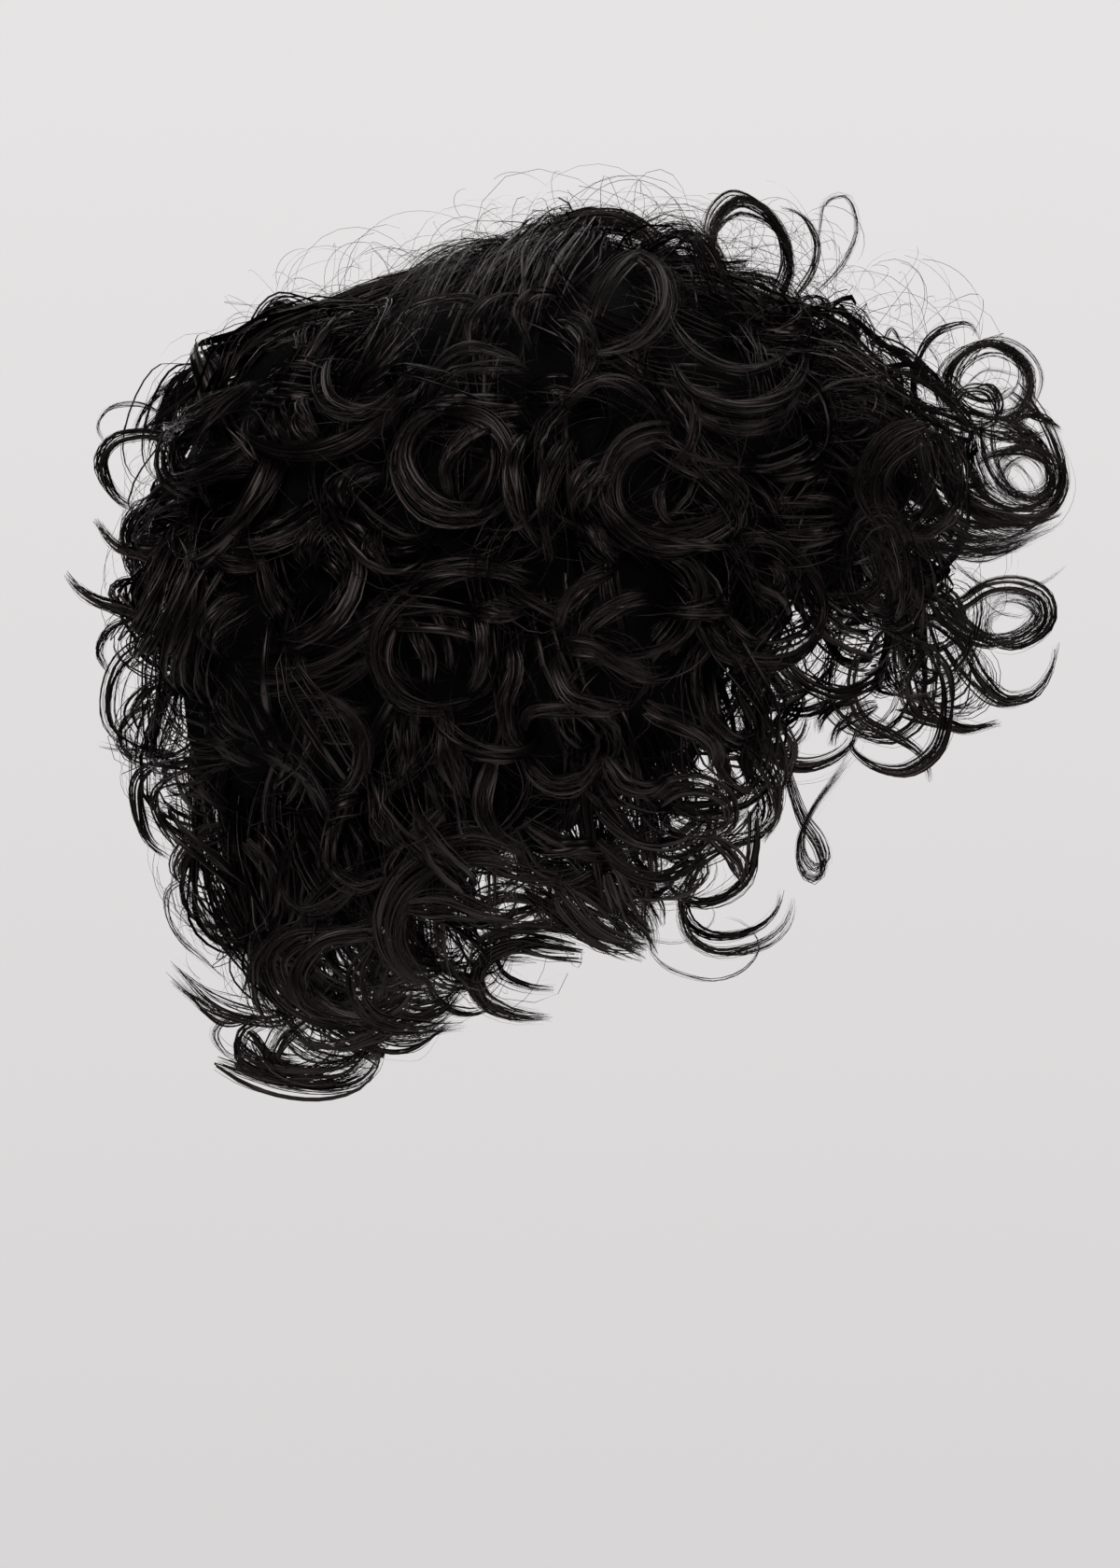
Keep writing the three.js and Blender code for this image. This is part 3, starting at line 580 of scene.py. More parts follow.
@dataclass(frozen=True)
class HeadForm:
    """Head hollow, cap and reach of the hair, as half sizes from the middle of the head."""

    middle_up: float = -95.0
    breadth: float = 79.0
    length: float = 96.0
    above: float = 95.0
    below: float = 150.0
    cap_wall: float = 1.5
    hair_side: float = 112.0
    hair_above: float = 117.0
    hair_below: float = 162.0
    fullness: float = 2.2
    root_lift: float = 24.0
    root_lift_share: float = 0.35
    root_swing: float = 26.0
    swing_focus: int = 4
    halvings: int = 24

    @property
    def middle(self) -> Array:
        """Middle of the head."""
        return UP * self.middle_up

    def way(self, azimuth: Array, polar: Array) -> Array:
        """Unit directions from the middle of the head.

        Args:
            azimuth: degrees from the front towards the right side.
            polar: degrees from straight up.
        Returns:
            Directions with a last axis of three.
        """
        azimuth, polar = np.radians(azimuth), np.radians(polar)
        flat = np.sin(polar)
        return np.stack([flat * np.cos(azimuth), -flat * np.sin(azimuth), np.cos(polar) + 0 * azimuth], -1)

    def angles(self, points: Array) -> tuple[Array, Array]:
        """Azimuth and polar angle of points, in degrees.

        Args:
            points: places with a last axis of three.
        Returns:
            Azimuth from -180 to 180 and polar angle from 0 to 180.
        """
        ray = points - self.middle
        ray = ray / np.linalg.norm(ray, axis=-1, keepdims=True)
        azimuth = np.degrees(np.arctan2(-ray[..., 1], ray[..., 0]))
        return azimuth, np.degrees(np.arccos(np.clip(ray[..., 2], -1, 1)))

    def head_reach(self, way: Array) -> Array:
        """Distance from the middle to the inside of the cap.

        Args:
            way: unit directions.
        Returns:
            One distance a direction.
        """
        tall = np.where(way[..., 2] > 0, self.above, self.below)
        shares = np.stack([way[..., 0] / self.length, way[..., 1] / self.breadth, way[..., 2] / tall], -1)
        return 1 / np.linalg.norm(shares, axis=-1)

    def cap_reach(self, way: Array) -> Array:
        """Distance from the middle to the outside of the cap along each direction."""
        return self.head_reach(way) + self.cap_wall

    def hair_reach(self, way: Array) -> Array:
        """Distance from the middle to the mean outside of the hair.

        Args:
            way: unit directions.
        Returns:
            One distance a direction.
        """
        flat = np.hypot(way[..., 0], way[..., 1])
        polar = np.degrees(np.arctan2(flat, way[..., 2]))
        front, back = (
            np.interp(polar, [row.polar for row in PROFILE], [getattr(row, side) for row in PROFILE])
            for side in ("front", "back")
        )
        tall = np.where(way[..., 2] > 0, self.hair_above, self.hair_below)
        shares = np.stack([flat / self.hair_side, way[..., 2] / tall], -1)
        beside = (np.abs(shares) ** self.fullness).sum(-1) ** (-1 / self.fullness)
        turn = np.arctan2(way[..., 1], way[..., 0])
        ahead = np.where(way[..., 0] > 0, front, back)
        return 1 / np.hypot(np.cos(turn) / ahead, np.sin(turn) / beside)

    def side_reach(self, flat: Array) -> Array:
        """How far out to the side the hair reaches.

        Args:
            flat: places ahead and up.
        Returns:
            Distances from the mid-plane, nothing outside the outline.
        """
        low, high = np.zeros(len(flat)), np.full(len(flat), 2 * self.hair_side)
        for _ in range(self.halvings):
            aside = (low + high) / 2
            ray = np.stack([flat[:, 0], -aside, flat[:, 1]], -1) - self.middle
            inside = np.linalg.norm(ray, axis=-1) < self.hair_reach(unit(ray))
            low, high = np.where(inside, aside, low), np.where(inside, high, aside)
        return low

    def edge(self, azimuth: Array, edge: Edge) -> Array:
        """Polar angle of a lower edge, the same on both sides.

        Args:
            azimuth: degrees from the front.
            edge: which edge.
        Returns:
            Polar angles in degrees.
        """
        turn = np.abs((np.asarray(azimuth) + 540) % 360 - 180)
        return np.interp(turn, [row.azimuth for row in EDGES], [getattr(row, edge.value) for row in EDGES])

    def lifted(self, polar: Array) -> Array:
        """Polar angle of the root of a lock whose ring starts at the given polar angle."""
        return polar - np.minimum(self.root_lift, polar * self.root_lift_share)

    def swung(self, azimuth: Array) -> Array:
        """Azimuth of the root of a lock, which sweeps forward round the face."""
        focus = np.cos(np.radians(azimuth / 2)) ** self.swing_focus
        return azimuth + np.sign(azimuth) * self.root_swing * focus

    def keep_clear(self, points: Array, clearance: float) -> Array:
        """Moves points that lie inside the head out to just over the cap.

        Args:
            points: places with a last axis of three.
            clearance: distance kept from the cap's outside.
        Returns:
            The same points, none inside the head.
        """
        ray = points - self.middle
        far = np.linalg.norm(ray, axis=-1, keepdims=True)
        least = self.cap_reach(ray / far)[..., None] + clearance
        return self.middle + ray * np.maximum(1, least / far)


def unit(vectors: Array) -> Array:
    """Vectors scaled to a length of one along their last axis."""
    return vectors / np.maximum(np.linalg.norm(vectors, axis=-1, keepdims=True), TINY)


def ring_plane(yaw: Array, pitch: Array) -> tuple[Array, Array]:
    """Level and rising directions of a ring's plane.

    Args:
        yaw: turn about the upright, in degrees.
        pitch: tilt about the level direction, in degrees.
    Returns:
        Unit vectors ahead and rise.
    """
    yaw, pitch = np.radians(yaw), np.radians(pitch)
    ahead = np.stack([np.cos(yaw), -np.sin(yaw), 0 * yaw], -1)
    aside = np.cross(ahead, UP)
    return ahead, np.cos(pitch)[..., None] * UP + np.sin(pitch)[..., None] * aside


def spoke(ahead: Array, rise: Array, angle: Array) -> Array:
    """Unit vectors from a ring's middle to its place at an angle in radians."""
    return ahead * np.cos(angle)[..., None] + rise * np.sin(angle)[..., None]


def smooth_line(points: Array, count: int) -> Array:
    """Evenly spaced places on a smooth curve through a few points.

    Args:
        points: the points, in order.
        count: number of places.
    Returns:
        The places.
    """
    gaps = np.linalg.norm(np.diff(points, axis=0), axis=1)
    at = np.concatenate([[0], gaps.cumsum()])
    slopes = np.gradient(points, at, axis=0)
    where = np.linspace(0, at[-1], count)
    first = np.clip(np.searchsorted(at, where, "right") - 1, 0, len(gaps) - 1)
    gap = gaps[first][:, None]
    share = (where - at[first])[:, None] / gap
    rest = 1 - share
    return (
        points[first] * rest**2 * (1 + 2 * share)
        + points[first + 1] * share**2 * (1 + 2 * rest)
        + slopes[first] * gap * share * rest**2
        - slopes[first + 1] * gap * share**2 * rest
    )


def flowing_start(
    middle: Array, radius: float, plane: tuple[Array, Array], sense: float, rng: Random
) -> float:
    """Angle, in degrees, where a stem from the root runs most smoothly into a ring.

    Args:
        middle: the ring's middle, seen from the root.
        radius: the ring's radius.
        plane: ahead and rise of the ring's plane.
        sense: 1 or -1, the way the ring turns.
        rng: source of a little variation.
    Returns:
        The chosen angle.
    """
    spacing, variation = 15, 0.3
    degrees = np.arange(0, 360, spacing)
    angle = np.radians(degrees)
    gate = middle + radius * spoke(*plane, angle)
    entry = sense * spoke(*plane, angle + np.pi / 2)
    smooth = (entry * unit(gate)).sum(-1) + rng.uniform(0, variation, len(angle))
    return float(degrees[smooth.argmax()])


def by_zone(form: HeadForm, items: Sequence[Item]) -> dict[Zone, list[Item]]:
    """Sorts curls or lock lines by the zone that holds their place.

    Args:
        form: the head and hair sizes.
        items: the curls or lines.
    Returns:
        The items of each zone.
    """
    held: dict[Zone, list[Item]] = {zone: [] for zone in Zone}
    for item in items:
        azimuth, polar = form.angles(item.place())
        held[next(zone for zone in Zone if zone.holds(azimuth, polar))].append(item)
    return held


@dataclass
class Locks:
    """Curled locks as columns, one entry a lock."""

    middle: Array
    ahead: Array
    rise: Array
    axis: Array
    radius: Array
    body: Array
    start: Array
    turns: Array
    root_way: Array

    @classmethod
    def from_rows(cls, form: HeadForm, rows: Sequence[CurlRow], zone: ZoneSpan) -> "Locks":
        """Works out ring planes and roots from rows of sizes.

        Args:
            form: the head and hair sizes.
            rows: the curls of one zone.
            zone: the span that their roots stay in.
        Returns:
            The locks of that zone.
        """
        columns = np.array(rows, float).reshape(-1, len(CurlRow._fields)).T
        front, up, right, radius, body, yaw, pitch, start, turns = columns
        middle = np.stack([front, -right, up], -1)
        ahead, rise = ring_plane(yaw, pitch)
        axis = np.cross(ahead, rise)
        outward = np.sign((axis * (middle - form.middle)).sum(-1, keepdims=True) + TINY)
        start = np.radians(start)
        gates = middle + radius[:, None] * spoke(ahead, rise, start)
        return cls(
            middle, ahead, rise, axis * outward, radius, body, start, turns,
            cls._root_ways(form, gates, zone),
        )

    @staticmethod
    def _root_ways(form: HeadForm, gates: Array, zone: ZoneSpan) -> Array:
        """Directions of the roots: in their own zone, higher on the head than the ring's start.

        Args:
            form: the head and hair sizes.
            gates: where the rings start.
            zone: the span that the roots stay in.
        Returns:
            One direction a lock.
        """
        margin, crown_edge = 3, 38
        azimuth, polar = form.angles(gates)
        azimuth = form.swung(azimuth)
        turn = np.where(azimuth < zone.start, azimuth + 360, azimuth)
        turn = np.clip(turn, zone.start + margin, zone.end - margin)
        highest = min(zone.top + margin, crown_edge)
        lowest = np.minimum(form.edge(turn, Edge.RIM), zone.hem or 180) - margin
        return form.way(turn, np.clip(form.lifted(polar), highest, lowest))

    def weights(self) -> Array:
        """Share of hair that each lock takes, with its stem counted as half a turn."""
        stem_turns = 0.5
        return np.sqrt(self.body) * (stem_turns + np.abs(self.turns))

    def __len__(self) -> int:
        """Number of locks."""
        return len(self.radius)


@dataclass(frozen=True)
class WispSpread:
    """How the wisps of one lock differ from its middle line, and their strips from the wisp."""

    wisps: int = 6
    flatness: float = 1.3
    offset_share: float = 0.8
    across: float = 0.6
    half_width: Pair = (0.26, 0.50)
    cone: float = 0.75
    phase: float = 0.22
    turn_share: float = 0.17
    shrink: float = 0.26
    shrink_spread: float = 0.15
    tilt_share: float = 0.18
    shift_share: float = 0.12
    oval: float = 0.15
    root_patch: float = 0.06
    place: float = 0.34
    strip_phase: float = 0.04
    strip_turn: float = 0.08
    frizz: float = 0.5
    ring: float = 16.0
    full_body: float = 7.5
    slimmest: float = 0.35


@dataclass
class StripDraw:
    """Lock, wisp and kind of each strip of some locks, and the scatter that is drawn for them."""

    locks: int
    wisps: int
    own: Array
    wisp: Array
    kind: Array

    @classmethod
    def make(cls, counts: Array, wisps: int, rng: Random) -> "StripDraw":
        """Deals strips out to locks.

        Args:
            counts: number of strips of each lock.
            wisps: number of wisps in a lock.
            rng: source of the draws.
        Returns:
            The dealt strips.
        """
        own = np.repeat(np.arange(len(counts)), counts)
        wisp = rng.integers(0, wisps, len(own))
        parts = [kind.value.part for kind in StripKind]
        return cls(len(counts), wisps, own, wisp, rng.choice(len(parts), len(own), p=parts))

    def trait(self, name: str) -> Array:
        """One size of each strip's kind."""
        return np.array([getattr(kind.value, name) for kind in StripKind])[self.kind]

    def even(self, low: float, high: float, rng: Random) -> Array:
        """Even scatter between two values that a wisp's strips share."""
        return rng.uniform(low, high, (self.locks, self.wisps))[self.own, self.wisp]

    def per_wisp(self, size: float, rng: Random) -> Array:
        """Scatter that a wisp's strips share."""
        return rng.normal(0, size, (self.locks, self.wisps))[self.own, self.wisp]

    def per_strip(self, size: float, rng: Random) -> Array:
        """Scatter of each strip by itself."""
        return rng.normal(0, size, len(self.own)) * self.trait("scatter")

    def rolls(self, rng: Random) -> Array:
        """Roll of each strip about its own line, in radians."""
        return rng.normal(0, 1, len(self.own)) * self.trait("roll")

    def tones(self, rng: Random) -> Array:
        """Tones of the strips, each near to that of its lock.

        Args:
            rng: source of the variation.
        Returns:
            One tone a strip.
        """
        lock = LOCK_TONE * rng.normal(size=self.locks)[self.own]
        strip = rng.uniform(-STRIP_TONE, STRIP_TONE, len(self.own))
        return np.clip(MIDDLE_TONE + lock + strip, 0, 1)

    def widths(self, points: int, rng: Random) -> Array:
        """Widths along the strips, each fine at the tip.

        Args:
            points: number of places along a strip.
            rng: source of the variation.
        Returns:
            One row a strip, in millimetres.
        """
        low, high = self.trait("width").T
        width = low + (high - low) * rng.random(len(self.own))
        return width[:, None] * np.interp(np.linspace(0, 1, points), TAPER_PLACES, TAPER_WIDTHS)


def wobble(share: Array, rng: Random) -> Array:
    """Slow waves along each strip, growing towards its tip."""
    pace, phase = rng.uniform(*WOBBLE_PACE, (len(share), 1)), rng.random((len(share), 1))
    return np.sin(2 * np.pi * (pace * share + phase)) * share


def uneven_steps(number: int, steps: int, rng: Random) -> Array:
    """Shares of the length where strips bend, each at its own places, so that no lock shows corners.

    Args:
        number: number of strips.
        steps: steps along a strip.
        rng: source of the variation.
    Returns:
        One row a strip, from 0 to 1.
    """
    half_step = 0.5
    step = np.arange(steps + 1) / steps
    slack = rng.uniform(-half_step, half_step, (number, 1)) / steps
    return step + slack * np.sin(np.pi * step)


@dataclass
class Strips:
    """Hair strips: middle lines, side directions, widths, edge rounding in degrees and tones."""

    paths: Array
    sides: Array
    widths: Array
    rounding: Array
    tones: Array

    def __len__(self) -> int:
        """Number of strips."""
        return len(self.paths)

    def outline(self) -> tuple[Array, Array]:
        """Edge points of the strips and normals that round each strip like a fibre.

        Returns:
            Points in millimetres and unit normals, strip by strip, two at each step.
        """
        along = unit(np.gradient(self.paths, axis=1))
        side = unit(self.sides - (self.sides * along).sum(-1, keepdims=True) * along)
        face = np.cross(along, side)
        edge = side * (self.widths / 2)[..., None]
        bend = np.radians(self.rounding)[:, None, None, None]
        lean = np.stack([-side, side], 2) * np.sin(bend) + face[:, :, None] * np.cos(bend)
        points = np.stack([self.paths - edge, self.paths + edge], 2)
        return points.reshape(-1, 3), unit(lean.reshape(-1, 3))

    def faces(self) -> Array:
        """Faces of the strips.

        Returns:
            Four point numbers a face, counted from the first point of the first strip.
        """
        count, points = self.paths.shape[:2]
        first = (np.arange(count)[:, None] * points + np.arange(points - 1)) * 2
        return (first[..., None] + np.array([0, 2, 3, 1])).reshape(-1, 4)

    def grain(self, rng: Random) -> Array:
        """Places in the fibre grain.

        Args:
            rng: source of each strip's own place.
        Returns:
            Places across, along and from strip to strip, in millimetres, for each point.
        """
        span, gap = 500, 7.0
        count = len(self)
        across = np.stack([-self.widths / 2, self.widths / 2], -1) + rng.uniform(0, span, (count, 1, 1))
        step = np.linalg.norm(np.diff(self.paths, axis=1), axis=-1)
        along = np.concatenate([np.zeros((count, 1)), step.cumsum(1)], 1)[..., None] + 0 * across
        strip = np.arange(count)[:, None, None] * gap + 0 * across
        return np.stack([across, along, strip], -1).reshape(-1, 3)

    def steps(self) -> Array:
        """Where each point lies on its strip.

        Returns:
            Strip number, share of the length and side of the strip for each point.
        """
        count, points = self.paths.shape[:2]
        grid = np.meshgrid(np.arange(count), np.linspace(0, 1, points), [0, 1], indexing="ij")
        return np.stack(grid, -1).reshape(-1, 3)


def hair_object(name: str, groups: Sequence[Strips], rng: Random) -> bpy.types.Object:
    """Joins groups of strips into one mesh.

    Args:
        name: name of the new object.
        groups: strips, each group with its own number of steps.
        rng: source of each strip's place in the fibre grain.
    Returns:
        The object, linked to the scene.
    """
    points, normals = (np.concatenate(column) for column in zip(*(group.outline() for group in groups)))
    sizes = [group.paths.shape[0] * group.paths.shape[1] * 2 for group in groups]
    offsets = np.cumsum([0, *sizes[:-1]])
    quads = np.concatenate([group.faces() + offset for group, offset in zip(groups, offsets)])
    mesh = mesh_from(name, points * MM, quads)
    mesh.normals_split_custom_set_from_vertices(normals)

    tones = np.concatenate([np.repeat(group.tones, group.paths.shape[1] * 2) for group in groups])
    tone = mesh.attributes.new("tone", "FLOAT", "POINT")
    tone.data.foreach_set("value", tones.astype(np.float32))
    grains = np.concatenate([group.grain(rng) for group in groups])
    grain = mesh.attributes.new("grain", "FLOAT_VECTOR", "POINT")
    grain.data.foreach_set("vector", grains.astype(np.float32).ravel())
    steps = [group.steps() for group in groups]
    firsts = np.cumsum([0, *(len(group) for group in groups[:-1])])
    for table, first in zip(steps, firsts):
        table[:, 0] += first
    strip_map(mesh, np.concatenate(steps)[quads.ravel()], sum(len(group) for group in groups))
    return link_new(name, mesh)


def mesh_from(name: str, places: Array, quads: Array) -> bpy.types.Mesh:
    """Mesh of smooth quads from arrays.

    Args:
        name: name of the new mesh.
        places: vertex places in metres.
        quads: four vertex numbers a row.
    Returns:
        The new mesh.
    """
    mesh = bpy.data.meshes.new(name)
    mesh.vertices.add(len(places))
    mesh.vertices.foreach_set("co", places.astype(np.float32).ravel())
    mesh.loops.add(quads.size)
    mesh.loops.foreach_set("vertex_index", quads.astype(np.int32).ravel())
    mesh.polygons.add(len(quads))
    mesh.polygons.foreach_set("loop_start", np.arange(0, quads.size, 4, dtype=np.int32))
    mesh.polygons.foreach_set("use_smooth", np.ones(len(quads), bool))
    mesh.update(calc_edges=True)
    mesh.validate()
    return mesh


def strip_map(mesh: bpy.types.Mesh, corners: Array, count: int) -> None:
    """Gives each strip a narrow cell of its own in a texture map.

    Args:
        mesh: mesh of strips.
        corners: strip number, share of the length and side for each corner of each face.
        count: number of strips.
    """
    margin, cell_height = 0.15, 2.0
    columns = int(np.ceil(np.sqrt(count * cell_height)))
    rows = int(np.ceil(count / columns))
    strip, share, side = corners.T
    across = (strip % columns + margin + (1 - 2 * margin) * side) / columns
    upward = (strip // columns + margin / 2 + (1 - margin) * share) / rows
    layer = mesh.uv_layers.new(name="OFBake")
    layer.data.foreach_set("uv", np.stack([across, upward], -1).astype(np.float32).ravel())


def link_new(name: str, data: bpy.types.ID) -> bpy.types.Object:
    """Makes an object and links it to the scene.

    Args:
        name: its name.
        data: its mesh, light or camera.
    Returns:
        The new object.
    """
    made = bpy.data.objects.new(name, data)
    bpy.context.scene.collection.objects.link(made)
    return made


@dataclass(frozen=True)
class Warp:
    """Slow drift of places that keeps the curls from looking drawn with a compass."""

    amount: float = 1.5
    waves: int = 5
    longest: float = 75.0
    shortest: float = 32.0
    phases: float = 6.28
    seed: int = 41

    def __call__(self, points: Array) -> Array:
        """Moves points by a few long waves.

        Args:
            points: places with a last axis of three.
        Returns:
            The moved places.
        """
        rng = np.random.default_rng(self.seed)
        moved = points.copy()
        for _ in range(self.waves):
            wave = unit(rng.normal(size=3)) * 2 * np.pi / rng.uniform(self.shortest, self.longest)
            push = unit(rng.normal(size=3)) * self.amount
            moved += np.sin(points @ wave + rng.uniform(0, self.phases))[..., None] * push
        return moved


@dataclass
class CurlGrower:
    """Grows strips along locks: a stem out of the cap, then a ring that winds in."""

    form: HeadForm
    spread: WispSpread = WispSpread()
    warp: Warp = Warp()
    fullness: float = 1.0
    stem_steps: int = 4
    ring_steps: int = 15
    stem_pull: float = 0.4
    longest_stem: float = 58.0
    drift: float = 0.8
    clearance: float = 1.0
    broad: float = 1.0

    def whole(self, locks: Locks) -> float:
        """Triangles that locks take at a density of one."""
        return 2 * (self.stem_steps + self.ring_steps) * locks.weights().sum() * self.fullness

    def grow(self, locks: Locks, density: float, rng: Random) -> Strips:
        """Strips of some of a zone's locks.

        Args:
            locks: the locks.
            density: strips for each unit of a lock's weight.
            rng: source of the scatter.
        Returns:
            The strips.
        """
        counts = np.floor(density * self.fullness * locks.weights()).astype(int)
        draw = StripDraw.make(counts, self.spread.wisps, rng)
        ring, wide = self._rings(locks, draw, rng)
        paths = self._eased(np.concatenate([self._stems(locks, draw.own, ring, rng), ring], 1))
        paths = self.form.keep_clear(self.warp(paths), self.clearance)
        sides = self._sides(paths, wide, draw.rolls(rng))
        tones = draw.tones(rng)
        widths = draw.widths(paths.shape[1], rng) * self.broad
        return Strips(paths, sides, widths, draw.trait("rounding"), tones)

    def _rings(self, locks: Locks, draw: StripDraw, rng: Random) -> tuple[Array, Array]:
        """Rings of the strips, each winding in towards its tip.

        Args:
            locks: the zone's locks.
            draw: lock, wisp and kind of each strip.
            rng: source of the scatter.
        Returns:
            Points of each strip's ring, and the wide way of its wisp at each point.
        """
        spread, own = self.spread, draw.own
        scatter, body, radius = draw.trait("scatter"), locks.body[own], locks.radius[own]
        # Wide arcs scatter by millimetres, not by share, and thin locks keep together
        slim = np.clip(body / spread.full_body, spread.slimmest, 1)
        narrow = np.minimum(1, spread.ring / radius)
        calm = narrow * slim
        reach = body / 2 * spread.offset_share
        cone = draw.per_wisp(spread.cone, rng) * calm
        across = rng.normal(0, spread.across, len(own)) * np.sqrt(scatter)
        across = across * body * draw.even(*spread.half_width, rng)
        around, beside = draw.even(-1, 1, rng), draw.even(-1, 1, rng)
        radial = reach * around + across * np.sin(cone) + draw.per_strip(spread.place, rng)
        axial = reach * spread.flatness * beside + across * np.cos(cone) + draw.per_strip(spread.place, rng)
        phase = draw.per_wisp(spread.phase, rng) + draw.per_strip(spread.strip_phase, rng)
        phase = locks.start[own] + phase * calm
        turns = 1 + draw.per_wisp(spread.turn_share, rng) * slim + draw.per_strip(spread.strip_turn, rng)
        turns = locks.turns[own] * turns
        shrink = spread.shrink + draw.per_wisp(spread.shrink_spread, rng) * slim
        tilt = radius * draw.per_wisp(spread.tilt_share, rng) * calm
        lean = draw.even(0, 2 * np.pi, rng)
        oval = 1 + rng.normal(0, spread.oval, len(locks))[own] * narrow**2
        shift = radius * calm * np.stack([draw.per_wisp(spread.shift_share, rng) for _ in range(2)])

        share = uneven_steps(len(own), self.ring_steps, rng)
        turned = share * np.abs(turns)[:, None]
        angle = phase[:, None] + 2 * np.pi * turns[:, None] * share
        frizz = spread.frizz * scatter[:, None]
        size = (radius + radial)[:, None] * (1 - shrink[:, None] * turned)
        size = size + wobble(share, rng) * frizz
        outward = axial[:, None] + body[:, None] * self.drift * turned
        outward = outward + tilt[:, None] * np.cos(angle + lean[:, None])
        outward = outward + wobble(share, rng) * frizz
        ahead, rise, axis = (table[own][:, None] for table in (locks.ahead, locks.rise, locks.axis))
        out = spoke(ahead * oval[:, None, None], rise / oval[:, None, None], angle)
        ahead_shift, rise_shift = shift[..., None, None]
        middle = locks.middle[own][:, None] + ahead * ahead_shift + rise * rise_shift
        wide = out * np.sin(cone)[:, None, None] + axis * np.cos(cone)[:, None, None]
        return middle + out * size[..., None] + axis * outward[..., None], wide

    def _eased(self, paths: Array) -> Array:
        """Eases the bend where stem and ring meet.

        Args:
            paths: points of the strips.
        Returns:
            The points, those of the stems drawn towards their neighbours.
        """
        last = self.stem_steps + 2
        eased = paths.copy()
        eased[:, 1:last] = (paths[:, : last - 1] + 2 * paths[:, 1:last] + paths[:, 2 : last + 1]) / 4
        return eased

    def _stems(self, locks: Locks, own: Array, ring: Array, rng: Random) -> Array:
        """Stems from a patch of roots on the cap to the first point of each ring.

        Args:
            locks: the zone's locks.
            own: lock of each strip.
            ring: points of each strip's ring.
            rng: source of the roots' scatter.
        Returns:
            Points of the stems without the last one.
        """
        way = unit(locks.root_way[own] + rng.normal(0, self.spread.root_patch, (len(own), 3)))
        root = self.form.middle + way * (self.form.cap_reach(way) + self.clearance)[:, None]
        gate = ring[:, 0]
        far = np.linalg.norm(root - gate, axis=-1, keepdims=True)
        root = gate + (root - gate) * np.minimum(1, self.longest_stem / far)
        entry = unit(ring[:, 0] - ring[:, 1])
        pull = self.stem_pull * np.linalg.norm(gate - root, axis=-1, keepdims=True)
        corners = (root, root + way * pull, gate + entry * pull, gate)
        share = np.linspace(0, 1, self.stem_steps + 1)[:-1, None]
        factors = ((1 - share) ** 3, 3 * share * (1 - share) ** 2, 3 * share**2 * (1 - share), share**3)
        return sum(corner[:, None] * factor for corner, factor in zip(corners, factors))

    def _sides(self, paths: Array, wide: Array, rolls: Array) -> Array:
        """Side directions: the wisp's own wide way on the ring, carried back along the stem.

        Args:
            paths: points of the strips.
            wide: wide way of the wisp at each point of the ring.
            rolls: roll of each strip about its own line, in radians.
        Returns:
            One side direction for each point.
        """
        along = unit(np.gradient(paths, axis=1))
        sides = np.concatenate([np.empty_like(paths[:, : self.stem_steps]), wide], 1)
        for step in range(self.stem_steps - 1, -1, -1):
            sides[:, step] = sides[:, step + 1]
        sides = unit(sides - (sides * along).sum(-1, keepdims=True) * along)
        turn = rolls[:, None, None]
        return np.cos(turn) * sides + np.sin(turn) * np.cross(along, sides)


@dataclass
class LockLine:
    """Middle line of one lock, the direction that it faces at each place, its body and strip width."""

    points: Array
    facing: Array
    body: float
    broad: float = 1.0

    def length(self) -> float:
        """Length of the line in millimetres."""
        return float(np.linalg.norm(np.diff(self.points, axis=0), axis=1).sum())

    def place(self) -> Array:
        """Middle of the line."""
        return self.points[KNOTS // 2]


@dataclass(frozen=True)
class DrawnLocks:
    """Places the drawn locks in space, where they come out of the hair, lie on it and dip in again."""

    form: HeadForm
    eye: Pair = (-5.9, -157.2)
    eye_distance: float = 1858.0
    dip: float = 9.0
    dip_power: float = 0.6
    rise: Pair = (0.0, 5.0)
    rounds: int = 3
    strand: float = 1.1
    unwound: float = 0.3
    uneven: float = 0.05

    def lines(self, tress: Tress, rng: Random) -> list[LockLine]:
        """Lines of one drawn lock, one for each of its strands where it is loose.

        Args:
            tress: the lock.
            rng: source of the scatter.
        Returns:
            The lines in space.
        """
        if not tress.loose:
            return [self.line(tress, rng)]
        drawn = np.array(tress.line, float)
        middle = drawn.mean(0)
        made = []
        for _ in range(tress.loose):
            shift = rng.normal(0, self.unwound * tress.body, 2)
            strand = middle + (drawn - middle) * rng.normal(1, self.uneven, 2) + shift
            thin = tress._replace(body=self.strand, line=tuple(map(tuple, strand)))
            made.append(self.line(thin, rng))
        return made

    def line(self, tress: Tress, rng: Random) -> LockLine:
        """Line of one drawn lock.

        Args:
            tress: the lock.
            rng: source of a little variation in height.
        Returns:
            Its line in space.
        """
        drawn = smooth_line(np.array(tress.line, float), KNOTS)
        share = np.linspace(0, 1, KNOTS)
        lying, sense = tress.right is None, tress.side.value
        aside = np.zeros(KNOTS) if lying else np.interp(share, [0, 1], tress.right)
        for _ in range(self.rounds):
            # What stands nearer to the eye looks larger, so it is drawn smaller
            flat = self.eye + (drawn - self.eye) * (1 - aside / self.eye_distance)[:, None]
            aside = self.form.side_reach(flat) if lying else aside
        points = np.stack([flat[:, 0], -aside * sense, flat[:, 1]], -1)
        if not lying:
            return LockLine(points, np.tile([0.0, -sense, 0.0], (KNOTS, 1)), tress.body)
        facing = unit(points - self.form.middle)
        height = rng.uniform(*self.rise) - self.dip * (1 - np.sin(np.pi * share) ** self.dip_power)
        return LockLine(points + facing * height[:, None], facing, tress.body)


